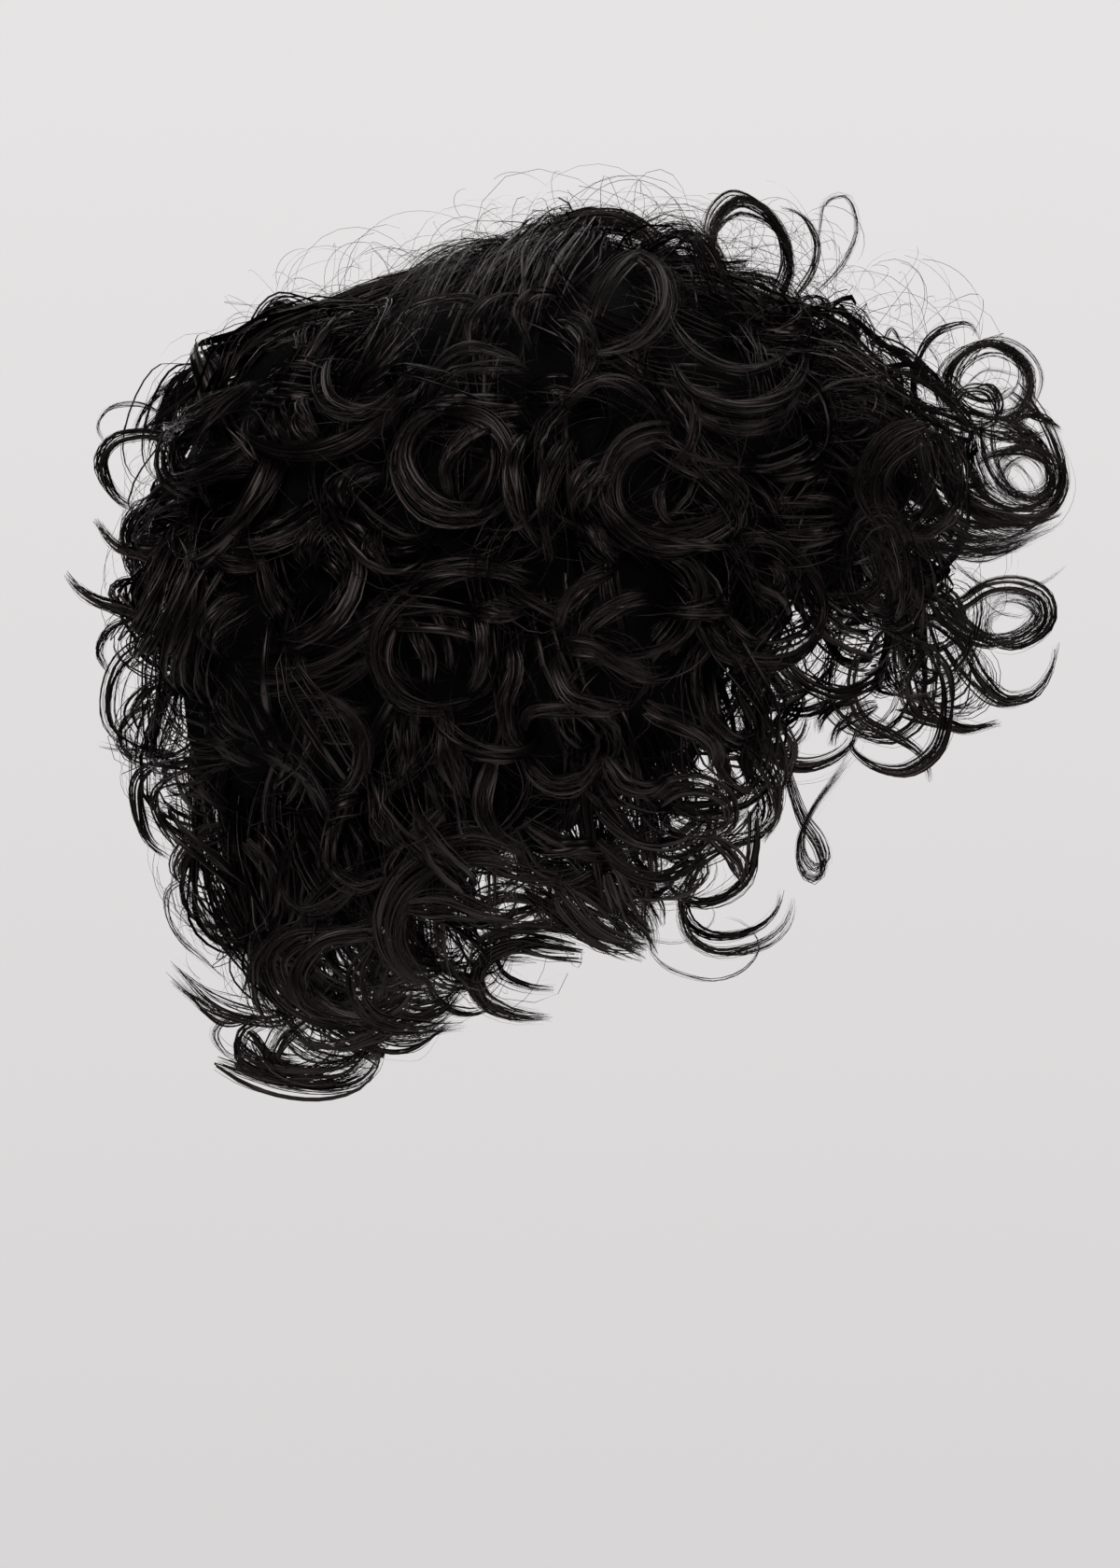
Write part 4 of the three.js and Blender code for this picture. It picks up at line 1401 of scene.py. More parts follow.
@dataclass(frozen=True)
class HangingLocks:
    """Loose corkscrew locks that hang from the rim over a span of azimuths."""

    number: int = 110
    span: Pair = (-180.0, 180.0)
    body: Pair = (5.0, 8.5)
    broad: float = 2.4
    top: Pair = (8.0, 30.0)
    short: Pair = (-4.0, 14.0)
    swerve: float = 7.0
    root_depth: Pair = (0.2, 0.5)
    depth: Pair = (0.08, 0.52)
    radius: Pair = (4.0, 9.0)
    swell_places: tuple[float, ...] = (0, 0.3, 1)
    swell: tuple[float, ...] = (0.3, 1, 0.8)
    turns: Pair = (0.7, 1.5)

    def lines(self, form: HeadForm, rng: Random) -> list[LockLine]:
        """Lines of the locks.

        Args:
            form: the head and hair sizes.
            rng: source of the variation.
        Returns:
            One line a lock.
        """
        share = np.linspace(0, 1, KNOTS)
        swell = np.interp(share, self.swell_places, self.swell)
        made = []
        for place in range(self.number):
            azimuth = np.interp((place + rng.random()) / self.number, [0, 1], self.span)
            rim, hang = form.edge(azimuth, Edge.RIM), form.edge(azimuth, Edge.HANG)
            polar = rim - rng.uniform(*self.top) + share * 0
            polar = polar + share * (hang - rng.uniform(*self.short) - polar)
            way = form.way(azimuth + rng.normal(0, self.swerve) * share, polar)
            inner, outer = form.cap_reach(way), form.hair_reach(way)
            depth = rng.uniform(*self.root_depth) * (1 - share) + rng.uniform(*self.depth) * share
            radius = rng.uniform(*self.radius) * swell
            angle = 2 * np.pi * (rng.random() + rng.choice((-1, 1)) * rng.uniform(*self.turns) * share)
            level = unit(np.cross(way, UP))
            middle = form.middle + way * (inner + (outer - inner - radius) * depth)[:, None]
            coil = level * np.cos(angle)[:, None] + way * np.sin(angle)[:, None]
            points = middle + coil * radius[:, None]
            made.append(LockLine(points, way, rng.uniform(*self.body), self.broad))
        return made


NAPE_LOCKS = HangingLocks(
    number=76, span=(120.0, 240.0), broad=3.0, short=(-4.0, 8.0), depth=(0.45, 0.95), radius=(5.0, 10.0)
)


def along_lines(table: Array, own: Array, share: Array) -> Array:
    """Values of each strip's lock at the strip's own places.

    Args:
        table: values at the knots of each lock line.
        own: lock of each strip.
        share: places along the strips, from 0 to 1.
    Returns:
        Values strip by strip.
    """
    place = np.clip(share, 0, 1) * (KNOTS - 1)
    before = np.minimum(place.astype(int), KNOTS - 2)
    part = (place - before)[..., None]
    lock = own[:, None]
    return table[lock, before] * (1 - part) + table[lock, before + 1] * part


@dataclass
class TressGrower:
    """Grows strips along lock lines, gathered in wisps that wander a little."""

    form: HeadForm
    fullness: float = 1.6
    steps: int = 20
    wisps: int = 8
    weight: float = 1.6
    weight_power: float = 0.6
    late_start: float = 0.06
    early_end: float = 0.08
    unevenness: float = 0.12
    depth: float = 0.5
    thickness: float = 0.55
    gather: float = 0.15
    twist: float = 0.8
    swell_places: tuple[float, ...] = (0, 0.15, 0.6, 1)
    swell: tuple[float, ...] = (0.6, 1, 1, 0.25)
    fray: float = 0.07
    wander: float = 0.10
    least_wander: float = 0.3
    wander_pace: Pair = (0.5, 1.3)
    frizz: float = 0.35
    full_body: float = 3.5
    finest: float = 0.25
    clearance: float = 1.0

    def whole(self, lines: Sequence[LockLine]) -> float:
        """Triangles that lock lines take at a density of one."""
        return 2 * self.steps * self.weights(lines).sum() * self.fullness

    def weights(self, lines: Sequence[LockLine]) -> Array:
        """Share of hair that each lock takes."""
        power = self.weight_power
        return np.array([self.weight * line.body**power / line.broad**power for line in lines])

    def grow(self, lines: Sequence[LockLine], density: float, rng: Random) -> Strips:
        """Strips of a zone's lock lines.

        Args:
            lines: the locks.
            density: strips for each unit of a lock's weight.
            rng: source of the scatter.
        Returns:
            The strips.
        """
        counts = np.floor(density * self.fullness * self.weights(lines)).astype(int)
        draw = StripDraw.make(counts, self.wisps, rng)
        own, number = draw.own, len(draw.own)
        first = rng.uniform(0, self.late_start, number)[:, None]
        last = 1 - np.abs(rng.normal(0, self.early_end, number))[:, None]
        share = first + (last - first) * uneven_steps(number, self.steps, rng)

        body = np.array([line.body for line in lines])[own]
        spot = (draw.wisp + 0.5) / self.wisps * 2 - 1 + draw.per_wisp(self.unevenness, rng)
        across = spot + draw.per_strip(self.gather, rng)
        deep = draw.per_wisp(self.depth, rng) + draw.per_strip(self.gather, rng)
        turn = rng.normal(0, self.twist, len(lines))[own][:, None] * (share - 0.5)
        swell = np.interp(share, self.swell_places, self.swell) * body[:, None] / 2
        across, deep = across[:, None] * swell, deep[:, None] * swell * self.thickness
        loose = body[:, None] * share**2
        wide = np.cos(turn) * across - np.sin(turn) * deep + loose * draw.per_wisp(self.fray, rng)[:, None]
        tall = np.sin(turn) * across + np.cos(turn) * deep + loose * draw.per_wisp(self.fray, rng)[:, None]
        frizz = self.frizz * draw.trait("scatter")[:, None]
        wander = (self.wander * body + self.least_wander)[:, None]
        wide = wide + wobble(share, rng) * frizz + self._roam(share, draw, rng) * wander
        tall = tall + wobble(share, rng) * frizz + self._roam(share, draw, rng) * wander

        points = np.stack([line.points for line in lines])
        facing = np.stack([line.facing for line in lines])
        side = unit(np.cross(unit(np.gradient(points, axis=1)), facing))
        sideways, outward = (unit(along_lines(table, own, share)) for table in (side, facing))
        paths = along_lines(points, own, share) + sideways * wide[..., None] + outward * tall[..., None]
        paths = self.form.keep_clear(paths, self.clearance)
        roll = turn + draw.rolls(rng)[:, None]
        sides = sideways * np.cos(roll)[..., None] + outward * np.sin(roll)[..., None]
        tones = draw.tones(rng)
        broad = np.array([line.broad for line in lines])[own]
        broad = broad * np.clip(body / self.full_body, self.finest, 1)
        widths = draw.widths(self.steps + 1, rng) * broad[:, None]
        return Strips(paths, sides, widths, draw.trait("rounding"), tones)

    def _roam(self, share: Array, draw: StripDraw, rng: Random) -> Array:
        """Slow waves that a wisp's strips share.

        Args:
            share: places along the strips.
            draw: lock, wisp and kind of each strip.
            rng: source of the pace and start of the waves.
        Returns:
            Values from -1 to 1, one at each place.
        """
        pace, phase = draw.even(*self.wander_pace, rng)[:, None], draw.even(0, 1, rng)[:, None]
        return np.sin(2 * np.pi * (pace * share + phase))


@dataclass(frozen=True)
class FillCurls:
    """Curls that fill the zones between and under the placed ones."""

    number: int = 340
    body: Pair = (6.0, 9.5)
    depth: Pair = (0.62, 0.94)
    side_depth: Pair = (0.36, 0.68)
    sunk_power: float = 1.5
    tilt: float = 25.0
    swerve: float = 4.0
    combed_to: float = 46.0
    combed_from: float = 98.0
    under_share: float = 0.75
    least_depth: float = 7.0

    def rows(self, form: HeadForm, placed: Sequence[CurlRow], rng: Random) -> list[CurlRow]:
        """Rows for curls spread evenly over the hair.

        Args:
            form: the head and hair sizes.
            placed: curls that stay in sight, so that those near them lie deeper.
            rng: source of the variation.
        Returns:
            One row a curl.
        """
        shown = np.array([(row.front, -row.right, row.up, row.radius, row.body) for row in placed])
        golden_angle = 180 * (3 - np.sqrt(5))
        made = []
        for place in range(self.number):
            polar = float(np.degrees(np.arccos(1 - 2 * (place + 0.5) / self.number)))
            azimuth = float((place * golden_angle + rng.normal(0, self.swerve) + 180) % 360 - 180)
            combed = polar < self.combed_to and abs(azimuth) > self.combed_from
            if polar < form.edge(azimuth, Edge.HANG) and not combed:
                made.append(self._row(form, azimuth, polar, shown, rng))
        return made

    def _row(self, form: HeadForm, azimuth: float, polar: float, shown: Array, rng: Random) -> CurlRow:
        """One filling curl in a direction from the middle of the head.

        Args:
            form: the head and hair sizes.
            azimuth: degrees from the front.
            polar: degrees from straight up.
            shown: middles, radii and bodies of the placed curls.
            rng: source of the variation.
        Returns:
            The curl.
        """
        styles = list(FillStyle)
        style = styles[rng.choice(len(styles), p=[option.value.part for option in styles])]
        shape = style.value
        way = form.way(np.array(azimuth), np.array(polar))
        radius = rng.uniform(*shape.radius)
        inner, outer = form.cap_reach(way), form.hair_reach(way)
        yaw, pitch = np.array(style.plane(azimuth, polar)) + rng.normal(0, self.tilt, 2)
        plane = ring_plane(yaw, pitch)
        rising = np.linalg.norm(np.array(plane) @ way)
        beside = 1 - abs(way[0])
        depth = np.interp(rng.random(), [0, 1], self.depth) * (1 - beside)
        depth += np.interp(rng.random(), [0, 1], self.side_depth) * beside
        reach = min(inner + (outer - inner) * depth, outer - radius * rising**self.sunk_power)
        ray = shown[:, :3] - form.middle
        far = ray @ way
        near = np.linalg.norm(ray - far[:, None] * way, axis=-1) < shown[:, 3] * self.under_share
        near &= far > 0
        under = far[near] - shown[near, 4]
        reach = max(min([reach, *under]), inner + self.least_depth)
        middle = form.middle + way * reach
        turns = rng.uniform(*shape.turns) * rng.choice((-1, 1))
        root = form.way(form.swung(np.array(azimuth)), form.lifted(np.array(polar)))
        root = form.middle + root * form.cap_reach(root)
        return CurlRow(
            front=middle[0],
            up=middle[2],
            right=-middle[1],
            radius=radius,
            body=rng.uniform(*self.body),
            yaw=yaw,
            pitch=pitch,
            start=flowing_start(middle - root, radius, plane, np.sign(turns), rng),
            turns=turns,
        )


@dataclass(frozen=True)
class CrownSweeps:
    """Smooth locks that lie along the crown, flowing down from its top towards the back."""

    number: int = 54
    azimuth: Pair = (98.0, 262.0)
    start: Pair = (4.0, 28.0)
    length: Pair = (18.0, 34.0)
    body: Pair = (10.0, 16.0)
    sunk: Pair = (0.0, 6.0)
    swerve: float = 4.0

    def rows(self, form: HeadForm, rng: Random) -> list[CurlRow]:
        """Rows for long shallow arcs round the middle of the head.

        Args:
            form: the head and hair sizes.
            rng: source of the variation.
        Returns:
            One row a lock.
        """
        made = []
        for place in range(self.number):
            azimuth = np.interp((place + rng.random()) / self.number, [0, 1], self.azimuth)
            start, length = rng.uniform(*self.start), rng.uniform(*self.length)
            way = form.way(azimuth, start + length * np.array([0, 0.5, 1]))
            made.append(
                CurlRow(
                    front=0,
                    up=form.middle_up,
                    right=0,
                    radius=form.hair_reach(way).min() - rng.uniform(*self.sunk),
                    body=rng.uniform(*self.body),
                    yaw=azimuth + rng.normal(0, self.swerve),
                    pitch=rng.normal(0, self.swerve),
                    start=90 - start,
                    turns=-length / 360,
                )
            )
        return made


@dataclass(frozen=True)
class PartnerRule:
    """How curls on the right side are echoed on the left, so that the sides match without mirroring."""

    beyond: float = 28
    behind: float = 68
    front: float = 7
    up: float = 6
    start: float = 35
    front_pace: float = 2.4
    up_pace: float = 1.7
    start_pace: float = 1.3
    inward: float = 0.93

    def shift(self, place: int) -> Pair:
        """Small shift ahead and up of one partner."""
        return self.front * np.sin(self.front_pace * place), self.up * np.cos(self.up_pace * place)

    def rows(self, curls: Sequence[CurlRow]) -> list[CurlRow]:
        """Left partners of the curls that stand far enough out on the right.

        Args:
            curls: the placed curls.
        Returns:
            Their partners, each shifted a little.
        """
        outer = [curl for curl in curls if curl.right > self.beyond and curl.front < self.behind]
        made = []
        for place, curl in enumerate(outer):
            ahead, up = self.shift(place)
            partner = curl._replace(
                front=curl.front + ahead,
                up=curl.up + up,
                right=-curl.right,
                yaw=-curl.yaw,
                pitch=-curl.pitch,
                start=curl.start + self.start * np.sin(self.start_pace * place),
            )
            made.append(partner)
        return made

    def tresses(self, form: HeadForm, drawn: Sequence[Tress]) -> list[Tress]:
        """Left partners of the drawn locks that lie well out on the right.

        Args:
            form: the head and hair sizes.
            drawn: the locks.
        Returns:
            Their partners, each drawn in and shifted a little.
        """
        outer = [
            tress for tress in drawn
            if not tress.loose and (tress.right is None or min(tress.right) > self.beyond)
        ]
        middle = np.array([0, form.middle_up])
        made = []
        for place, tress in enumerate(outer):
            line = middle + (np.array(tress.line) - middle) * self.inward + self.shift(place)
            made.append(tress._replace(line=tuple(map(tuple, line)), side=Side.LEFT))
        return made


@dataclass(frozen=True)
class FibreTone:
    """Shader group: a tone gives dark fibre its colour and gloss, and a grain its normals."""

    name: str = "fibre_tone"

    def group(self) -> bpy.types.NodeTree:
        """The group, built once.

        Returns:
            The node group, with Color, Roughness and Normal out.
        """
        known = bpy.data.node_groups.get(self.name)
        if known:
            return known
        tree = bpy.data.node_groups.new(self.name, "ShaderNodeTree")
        sockets = (
            ("Tone", "INPUT", "NodeSocketFloat"),
            ("Dark", "INPUT", "NodeSocketColor"),
            ("Light", "INPUT", "NodeSocketColor"),
            ("Smooth", "INPUT", "NodeSocketFloat"),
            ("Rough", "INPUT", "NodeSocketFloat"),
            ("Grain", "INPUT", "NodeSocketFloat"),
            ("Height", "INPUT", "NodeSocketFloat"),
            ("Depth", "INPUT", "NodeSocketFloat"),
            ("Color", "OUTPUT", "NodeSocketColor"),
            ("Roughness", "OUTPUT", "NodeSocketFloat"),
            ("Normal", "OUTPUT", "NodeSocketVector"),
        )
        for label, side, kind in sockets:
            tree.interface.new_socket(label, in_out=side, socket_type=kind)
        enter = tree.nodes.new("NodeGroupInput")
        leave = tree.nodes.new("NodeGroupOutput")
        colour = tree.nodes.new("ShaderNodeMix")
        colour.data_type = "RGBA"
        gloss = tree.nodes.new("ShaderNodeMapRange")
        bump = tree.nodes.new("ShaderNodeBump")
        link = tree.links.new
        link(enter.outputs["Tone"], colour.inputs["Factor"])
        link(enter.outputs["Dark"], colour.inputs["A"])
        link(enter.outputs["Light"], colour.inputs["B"])
        link(enter.outputs["Tone"], gloss.inputs["Value"])
        link(enter.outputs["Smooth"], gloss.inputs["To Min"])
        link(enter.outputs["Rough"], gloss.inputs["To Max"])
        link(enter.outputs["Grain"], bump.inputs["Height"])
        link(enter.outputs["Height"], bump.inputs["Strength"])
        link(enter.outputs["Depth"], bump.inputs["Distance"])
        link(colour.outputs["Result"], leave.inputs["Color"])
        link(gloss.outputs["Result"], leave.inputs["Roughness"])
        link(bump.outputs["Normal"], leave.inputs["Normal"])
        return tree


@dataclass(frozen=True)
class Finish:
    """A dark fibre finish: colours and gloss at both ends of its tone, and its raised grain."""

    name: str
    dark: Triple
    light: Triple
    smooth: float
    rough: float
    specular: float = 0.5
    sheen: Triple = (1.0, 1.0, 1.0)
    height: float = 0.4
    depth: float = 1.0

    def base(self) -> tuple[bpy.types.Material, bpy.types.Node]:
        """Starts the material.

        Returns:
            The material and its tone group, linked to the surface shader.
        """
        material = bpy.data.materials.new(self.name)
        material.use_nodes = True
        tree = material.node_tree
        surface = tree.nodes["Principled BSDF"]
        surface.inputs["Specular IOR Level"].default_value = self.specular
        surface.inputs["Specular Tint"].default_value = (*self.sheen, 1)
        tone = tree.nodes.new("ShaderNodeGroup")
        tone.node_tree = FibreTone().group()
        tone.inputs["Dark"].default_value = (*self.dark, 1)
        tone.inputs["Light"].default_value = (*self.light, 1)
        tone.inputs["Smooth"].default_value = self.smooth
        tone.inputs["Rough"].default_value = self.rough
        tone.inputs["Height"].default_value = self.height
        tone.inputs["Depth"].default_value = self.depth * MM
        tree.links.new(tone.outputs["Color"], surface.inputs["Base Color"])
        tree.links.new(tone.outputs["Roughness"], surface.inputs["Roughness"])
        tree.links.new(tone.outputs["Normal"], surface.inputs["Normal"])
        return material, tone


@dataclass(frozen=True)
class HairFinish(Finish):
    """Black synthetic fibre: strips differ in shade and show fine fibres along their length."""

    fibres_per_mm: float = 3.0
    fibre_length: float = 60.0
    detail: float = 2.0
    fibre_share: float = 0.5

    def material(self) -> bpy.types.Material:
        """Makes the material, which reads each strip's own tone and its fibre grain.

        Returns:
            The new material.
        """
        material, tone = self.base()
        tree = material.node_tree
        link = tree.links.new
        own = tree.nodes.new("ShaderNodeAttribute")
        own.attribute_name = "tone"
        grain = tree.nodes.new("ShaderNodeAttribute")
        grain.attribute_name = "grain"
        stretch = tree.nodes.new("ShaderNodeVectorMath")
        stretch.operation = "MULTIPLY"
        stretch.inputs[1].default_value = (self.fibres_per_mm, 1 / self.fibre_length, 1)
        fibres = tree.nodes.new("ShaderNodeTexNoise")
        fibres.inputs["Scale"].default_value = 1.0
        fibres.inputs["Detail"].default_value = self.detail
        both = tree.nodes.new("ShaderNodeMix")
        both.inputs["Factor"].default_value = self.fibre_share
        link(grain.outputs["Vector"], stretch.inputs[0])
        link(stretch.outputs["Vector"], fibres.inputs["Vector"])
        link(own.outputs["Fac"], both.inputs["A"])
        link(fibres.outputs["Fac"], both.inputs["B"])
        link(both.outputs["Result"], tone.inputs["Tone"])
        link(fibres.outputs["Fac"], tone.inputs["Grain"])
        return material


@dataclass(frozen=True)
class MatFinish(Finish):
    """Matted fibre in painted shade, or knitted mesh: a mottled tone with a fine raised grain."""

    grain: float = 900.0
    detail: float = 3.0

    def material(self) -> bpy.types.Material:
        """Makes the material, with noise for its tone and its grain.

        Returns:
            The new material.
        """
        material, tone = self.base()
        tree = material.node_tree
        place = tree.nodes.new("ShaderNodeTexCoord")
        noise = tree.nodes.new("ShaderNodeTexNoise")
        noise.inputs["Scale"].default_value = self.grain
        noise.inputs["Detail"].default_value = self.detail
        tree.links.new(place.outputs["Object"], noise.inputs["Vector"])
        tree.links.new(noise.outputs["Fac"], tone.inputs["Tone"])
        tree.links.new(noise.outputs["Fac"], tone.inputs["Grain"])
        return material


HAIR = HairFinish(
    "black_fibre", (0.0006, 0.0004, 0.0004), (0.0046, 0.0032, 0.0030), 0.27, 0.42,
    specular=0.56, sheen=(1.0, 0.80, 0.79), height=0.35, depth=0.2,
)
# Undercoat finish: the hair's own black with painted shade, dull so that the gaps between the curls read as
# deep shade
UNDER = MatFinish(
    "matted_fibre_painted_shade", (0.001, 0.0009, 0.0009), (0.003, 0.0027, 0.0025), 0.75, 0.9, specular=0.1
)
MESH = MatFinish(
    "stretch_mesh", (0.008, 0.0075, 0.0075), (0.03, 0.027, 0.026), 0.7, 0.85, grain=1400.0
)


def put_on(piece: bpy.types.Object, material: bpy.types.Material) -> None:
    """Gives a piece its finish and fastens it to the wig's one body.

    Args:
        piece: the piece.
        material: its finish.
    """
    piece.data.materials.append(material)
    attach(piece, "root")


@dataclass
class HairZone:
    """One sewn zone of curls: locks drawn along lines, placed curls, and filling ones."""

    zone: Zone
    lines: list[LockLine]
    placed: list[CurlRow]
    filling: list[CurlRow]
    form: HeadForm
    long_from: float = 75.0
    long_steps: int = 28
    short_steps: int = 15
    placed_fullness: float = 1.5
    placed_broad: float = 1.3
    filling_steps: int = 13

    def build(self, rng: Random) -> bpy.types.Object:
        """Grows the zone's hair into one mesh.

        Args:
            rng: source of the scatter.
        Returns:
            The new piece.
        """
        span = self.zone.value
        placed, filling = (Locks.from_rows(self.form, rows, span) for rows in (self.placed, self.filling))
        long = [line for line in self.lines if line.length() > self.long_from]
        short = [line for line in self.lines if line.length() <= self.long_from]
        sets = [
            (CurlGrower(self.form, fullness=self.placed_fullness, broad=self.placed_broad), placed),
            (CurlGrower(self.form, ring_steps=self.filling_steps, broad=span.broad), filling),
            (TressGrower(self.form, steps=self.long_steps), long),
            (TressGrower(self.form, steps=self.short_steps), short),
        ]
        density = span.triangles / sum(grower.whole(hair) for grower, hair in sets)
        strips = [grower.grow(hair, density, rng) for grower, hair in sets if len(hair)]
        return hair_object(span.node.replace("curls", "hair"), strips, rng)

    def dress(self, piece: bpy.types.Object, material: bpy.types.Material) -> None:
        """Puts the hair in the place of its zone's solid."""
        put_on(piece, material)
        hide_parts(self.zone.value.node)


@dataclass
class Flyaways:
    """Single fine hairs that stand off the outline in loose arcs."""

    form: HeadForm
    number: int = 1500
    steps: int = 12
    below_hem: float = 4.0
    radius: Pair = (9.0, 38.0)
    radius_power: float = 1.8
    turns: Pair = (0.22, 0.8)
    stand_off: Pair = (23.0, 14.0)
    stand_off_polar: Pair = (40.0, 75.0)
    ahead_extra: float = 1.3
    lean: float = 0.45
    phase: float = 0.5
    unwinding: float = 0.22
    drift: float = 9.0
    clearance: float = 1.0
    width: Pair = (0.09, 0.17)

    def build(self, rng: Random) -> bpy.types.Object:
        """Makes the hairs as one mesh.

        Args:
            rng: source of the scatter.
        Returns:
            The new piece.
        """
        azimuth = rng.uniform(-180, 180, self.number)
        lowest = np.radians(self.form.edge(azimuth, Edge.HEM) + self.below_hem)
        polar = np.degrees(np.arccos(1 - rng.random(self.number) * (1 - np.cos(lowest))))
        way = self.form.way(azimuth, polar)
        smallest, largest = self.radius
        radius = smallest + (largest - smallest) * rng.random(self.number) ** self.radius_power
        highest = rng.random(self.number) * np.interp(polar, self.stand_off_polar, self.stand_off)
        highest = highest * (1 + self.ahead_extra * np.maximum(way[:, 0], 0) ** 2)
        middle = self.form.middle + way * (self.form.hair_reach(way) + highest - radius)[:, None]
        ahead = unit(rng.normal(size=(self.number, 3)) * self.lean + way)
        aside = unit(np.cross(ahead, rng.normal(size=(self.number, 3))))
        span = 2 * np.pi * rng.uniform(*self.turns, self.number)
        share = np.linspace(-0.5, 0.5, self.steps + 1)
        angle = rng.normal(0, self.phase, self.number)[:, None] + span[:, None] * share
        size = radius[:, None] * (1 + rng.normal(0, self.unwinding, self.number)[:, None] * share)
        drift = rng.normal(0, self.drift, self.number)[:, None] * share
        paths = (
            middle[:, None]
            + ahead[:, None] * (size * np.cos(angle))[..., None]
            + aside[:, None] * (size * np.sin(angle))[..., None]
            + np.cross(ahead, aside)[:, None] * drift[..., None]
        )
        paths = self.form.keep_clear(paths, self.clearance)
        widths = rng.uniform(*self.width, self.number)[:, None] * np.ones(self.steps + 1)
        sides = np.repeat(rng.normal(size=(self.number, 1, 3)), self.steps + 1, 1)
        rounding = np.full(self.number, StripKind.STRAY.value.rounding)
        tones = rng.random(self.number)
        strips = Strips(paths, sides, widths, rounding, tones)
        return hair_object("flyaway_hair", [strips], rng)

    def dress(self, piece: bpy.types.Object, material: bpy.types.Material) -> None:
        """Finishes the hairs as hair."""
        put_on(piece, material)


@dataclass(frozen=True)
class Shell:
    """Closed wall over the head between two reaches, from the crown to an edge."""

    form: HeadForm
    round_steps: int = 72
    down_steps: int = 26
    crown_gap: float = 0.004

    def build(self, name: str, hem: Array, inner: Array, outer: Array) -> bpy.types.Object:
        """Makes the wall.

        Args:
            name: name of the new object.
            hem: polar angle of the edge at each step round.
            inner: reaches of the inside, steps round by steps down.
            outer: reaches of the outside, in the same order.
        Returns:
            The new piece.
        """
        way = self.ways(hem)
        inside = self.form.middle + way * inner[..., None]
        outside = self.form.middle + way * outer[..., None]
        # Down the inside from the crown, round the edge and up the outside again
        rings = np.concatenate([inside, outside[:, ::-1]], 1)
        columns, rows = rings.shape[:2]
        at = np.arange(columns)[:, None] * rows + np.arange(rows - 1)
        beside = (np.arange(columns)[:, None] + 1) % columns * rows + np.arange(rows - 1)
        quads = np.stack([at, beside, beside + 1, at + 1], -1).reshape(-1, 4)
        return link_new(name, mesh_from(name, rings.reshape(-1, 3) * MM, quads))

    def ways(self, hem: Array) -> Array:
        """Directions of the wall's grid.

        Args:
            hem: polar angle of the edge at each step round.
        Returns:
            Unit directions, steps round by steps down.
        """
        share = np.linspace(self.crown_gap, 1, self.down_steps + 1)
        return self.form.way(self.azimuths()[:, None], hem[:, None] * share)

    def azimuths(self) -> Array:
        """Azimuth of each step round."""
        return np.arange(self.round_steps) * 360 / self.round_steps


@dataclass
class WigCap:
    """Stretch cap that the head goes into."""

    form: HeadForm

    def build(self) -> bpy.types.Object:
        """Makes the cap's wall.

        Returns:
            The new piece.
        """
        shell = Shell(self.form)
        hem = self.form.edge(shell.azimuths(), Edge.RIM)
        way = shell.ways(hem)
        return shell.build("cap_shell", hem, self.form.head_reach(way), self.form.cap_reach(way))

    def dress(self, piece: bpy.types.Object) -> None:
        """Puts the cap in the place of its solid."""
        put_on(piece, MESH.material())
        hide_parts("wig_cap")


@dataclass
class Undercoat:
    """Matted hair close to the cap, which keeps the cap from showing between the curls. Near-black and
    dull, it is the hair's own black with painted shade, so that the gaps between the curls read as deep
    shade.
    """

    form: HeadForm
    round_steps: int = 90
    down_steps: int = 32
    depth: float = 0.55
    behind: float = 0.16
    thinnest: float = 1.0
    lump: float = 2.5
    lump_seed: int = 12
    past_rim: float = 0.9
    ragged: float = 1.5
    long_waves: int = 11
    long_phase: float = 1.0
    short_waves: int = 23
    thin_places: tuple[float, ...] = (0, 0.8, 1)
    thin_shares: tuple[float, ...] = (1, 1, 0.25)
    seat: float = 0.4

    def build(self) -> bpy.types.Object:
        """Makes the lumpy layer, thinning out towards its edge.

        Returns:
            The new piece.
        """
        shell = Shell(self.form, round_steps=self.round_steps, down_steps=self.down_steps)
        azimuth = shell.azimuths()
        rim, hem = self.form.edge(azimuth, Edge.RIM), self.form.edge(azimuth, Edge.HEM)
        turn = np.radians(azimuth)
        waves = np.sin(self.long_waves * turn + self.long_phase) + np.sin(self.short_waves * turn)
        edge = rim + self.past_rim * (hem - rim) + self.ragged * waves
        way = shell.ways(edge)
        inner, hair = self.form.cap_reach(way) + self.seat, self.form.hair_reach(way)
        thin = np.interp(np.linspace(0, 1, shell.down_steps + 1), self.thin_places, self.thin_shares)
        depth = self.depth + self.behind * np.maximum(-way[..., 0], 0)
        lumps = Warp(amount=self.lump, seed=self.lump_seed)(way * hair[..., None])
        lumps = np.linalg.norm(lumps, axis=-1) - hair
        outer = inner + np.maximum(depth * (hair - inner) + lumps, self.thinnest) * thin
        return shell.build("under_hair", edge, inner, outer)

    def dress(self, piece: bpy.types.Object) -> None:
        """Finishes the layer as hair, near-black and dull with painted shade."""
        put_on(piece, UNDER.material())


@dataclass(frozen=True)
class SoftBox:
    """One large studio light: where it stands, its width and height, and its power in watts."""

    name: str
    place: Triple
    size: Pair
    power: float

    def build(self, target: Vector) -> None:
        """Sets the light up, turned to the wig.

        Args:
            target: the place that it is turned to, in metres.
        """
        data = bpy.data.lights.new(self.name, "AREA")
        data.shape = "RECTANGLE"
        data.size, data.size_y = self.size
        data.energy = self.power
        lamp = link_new(self.name, data)
        lamp.location = self.place
        lamp.rotation_euler = (target - Vector(self.place)).to_track_quat("-Z", "Y").to_euler()


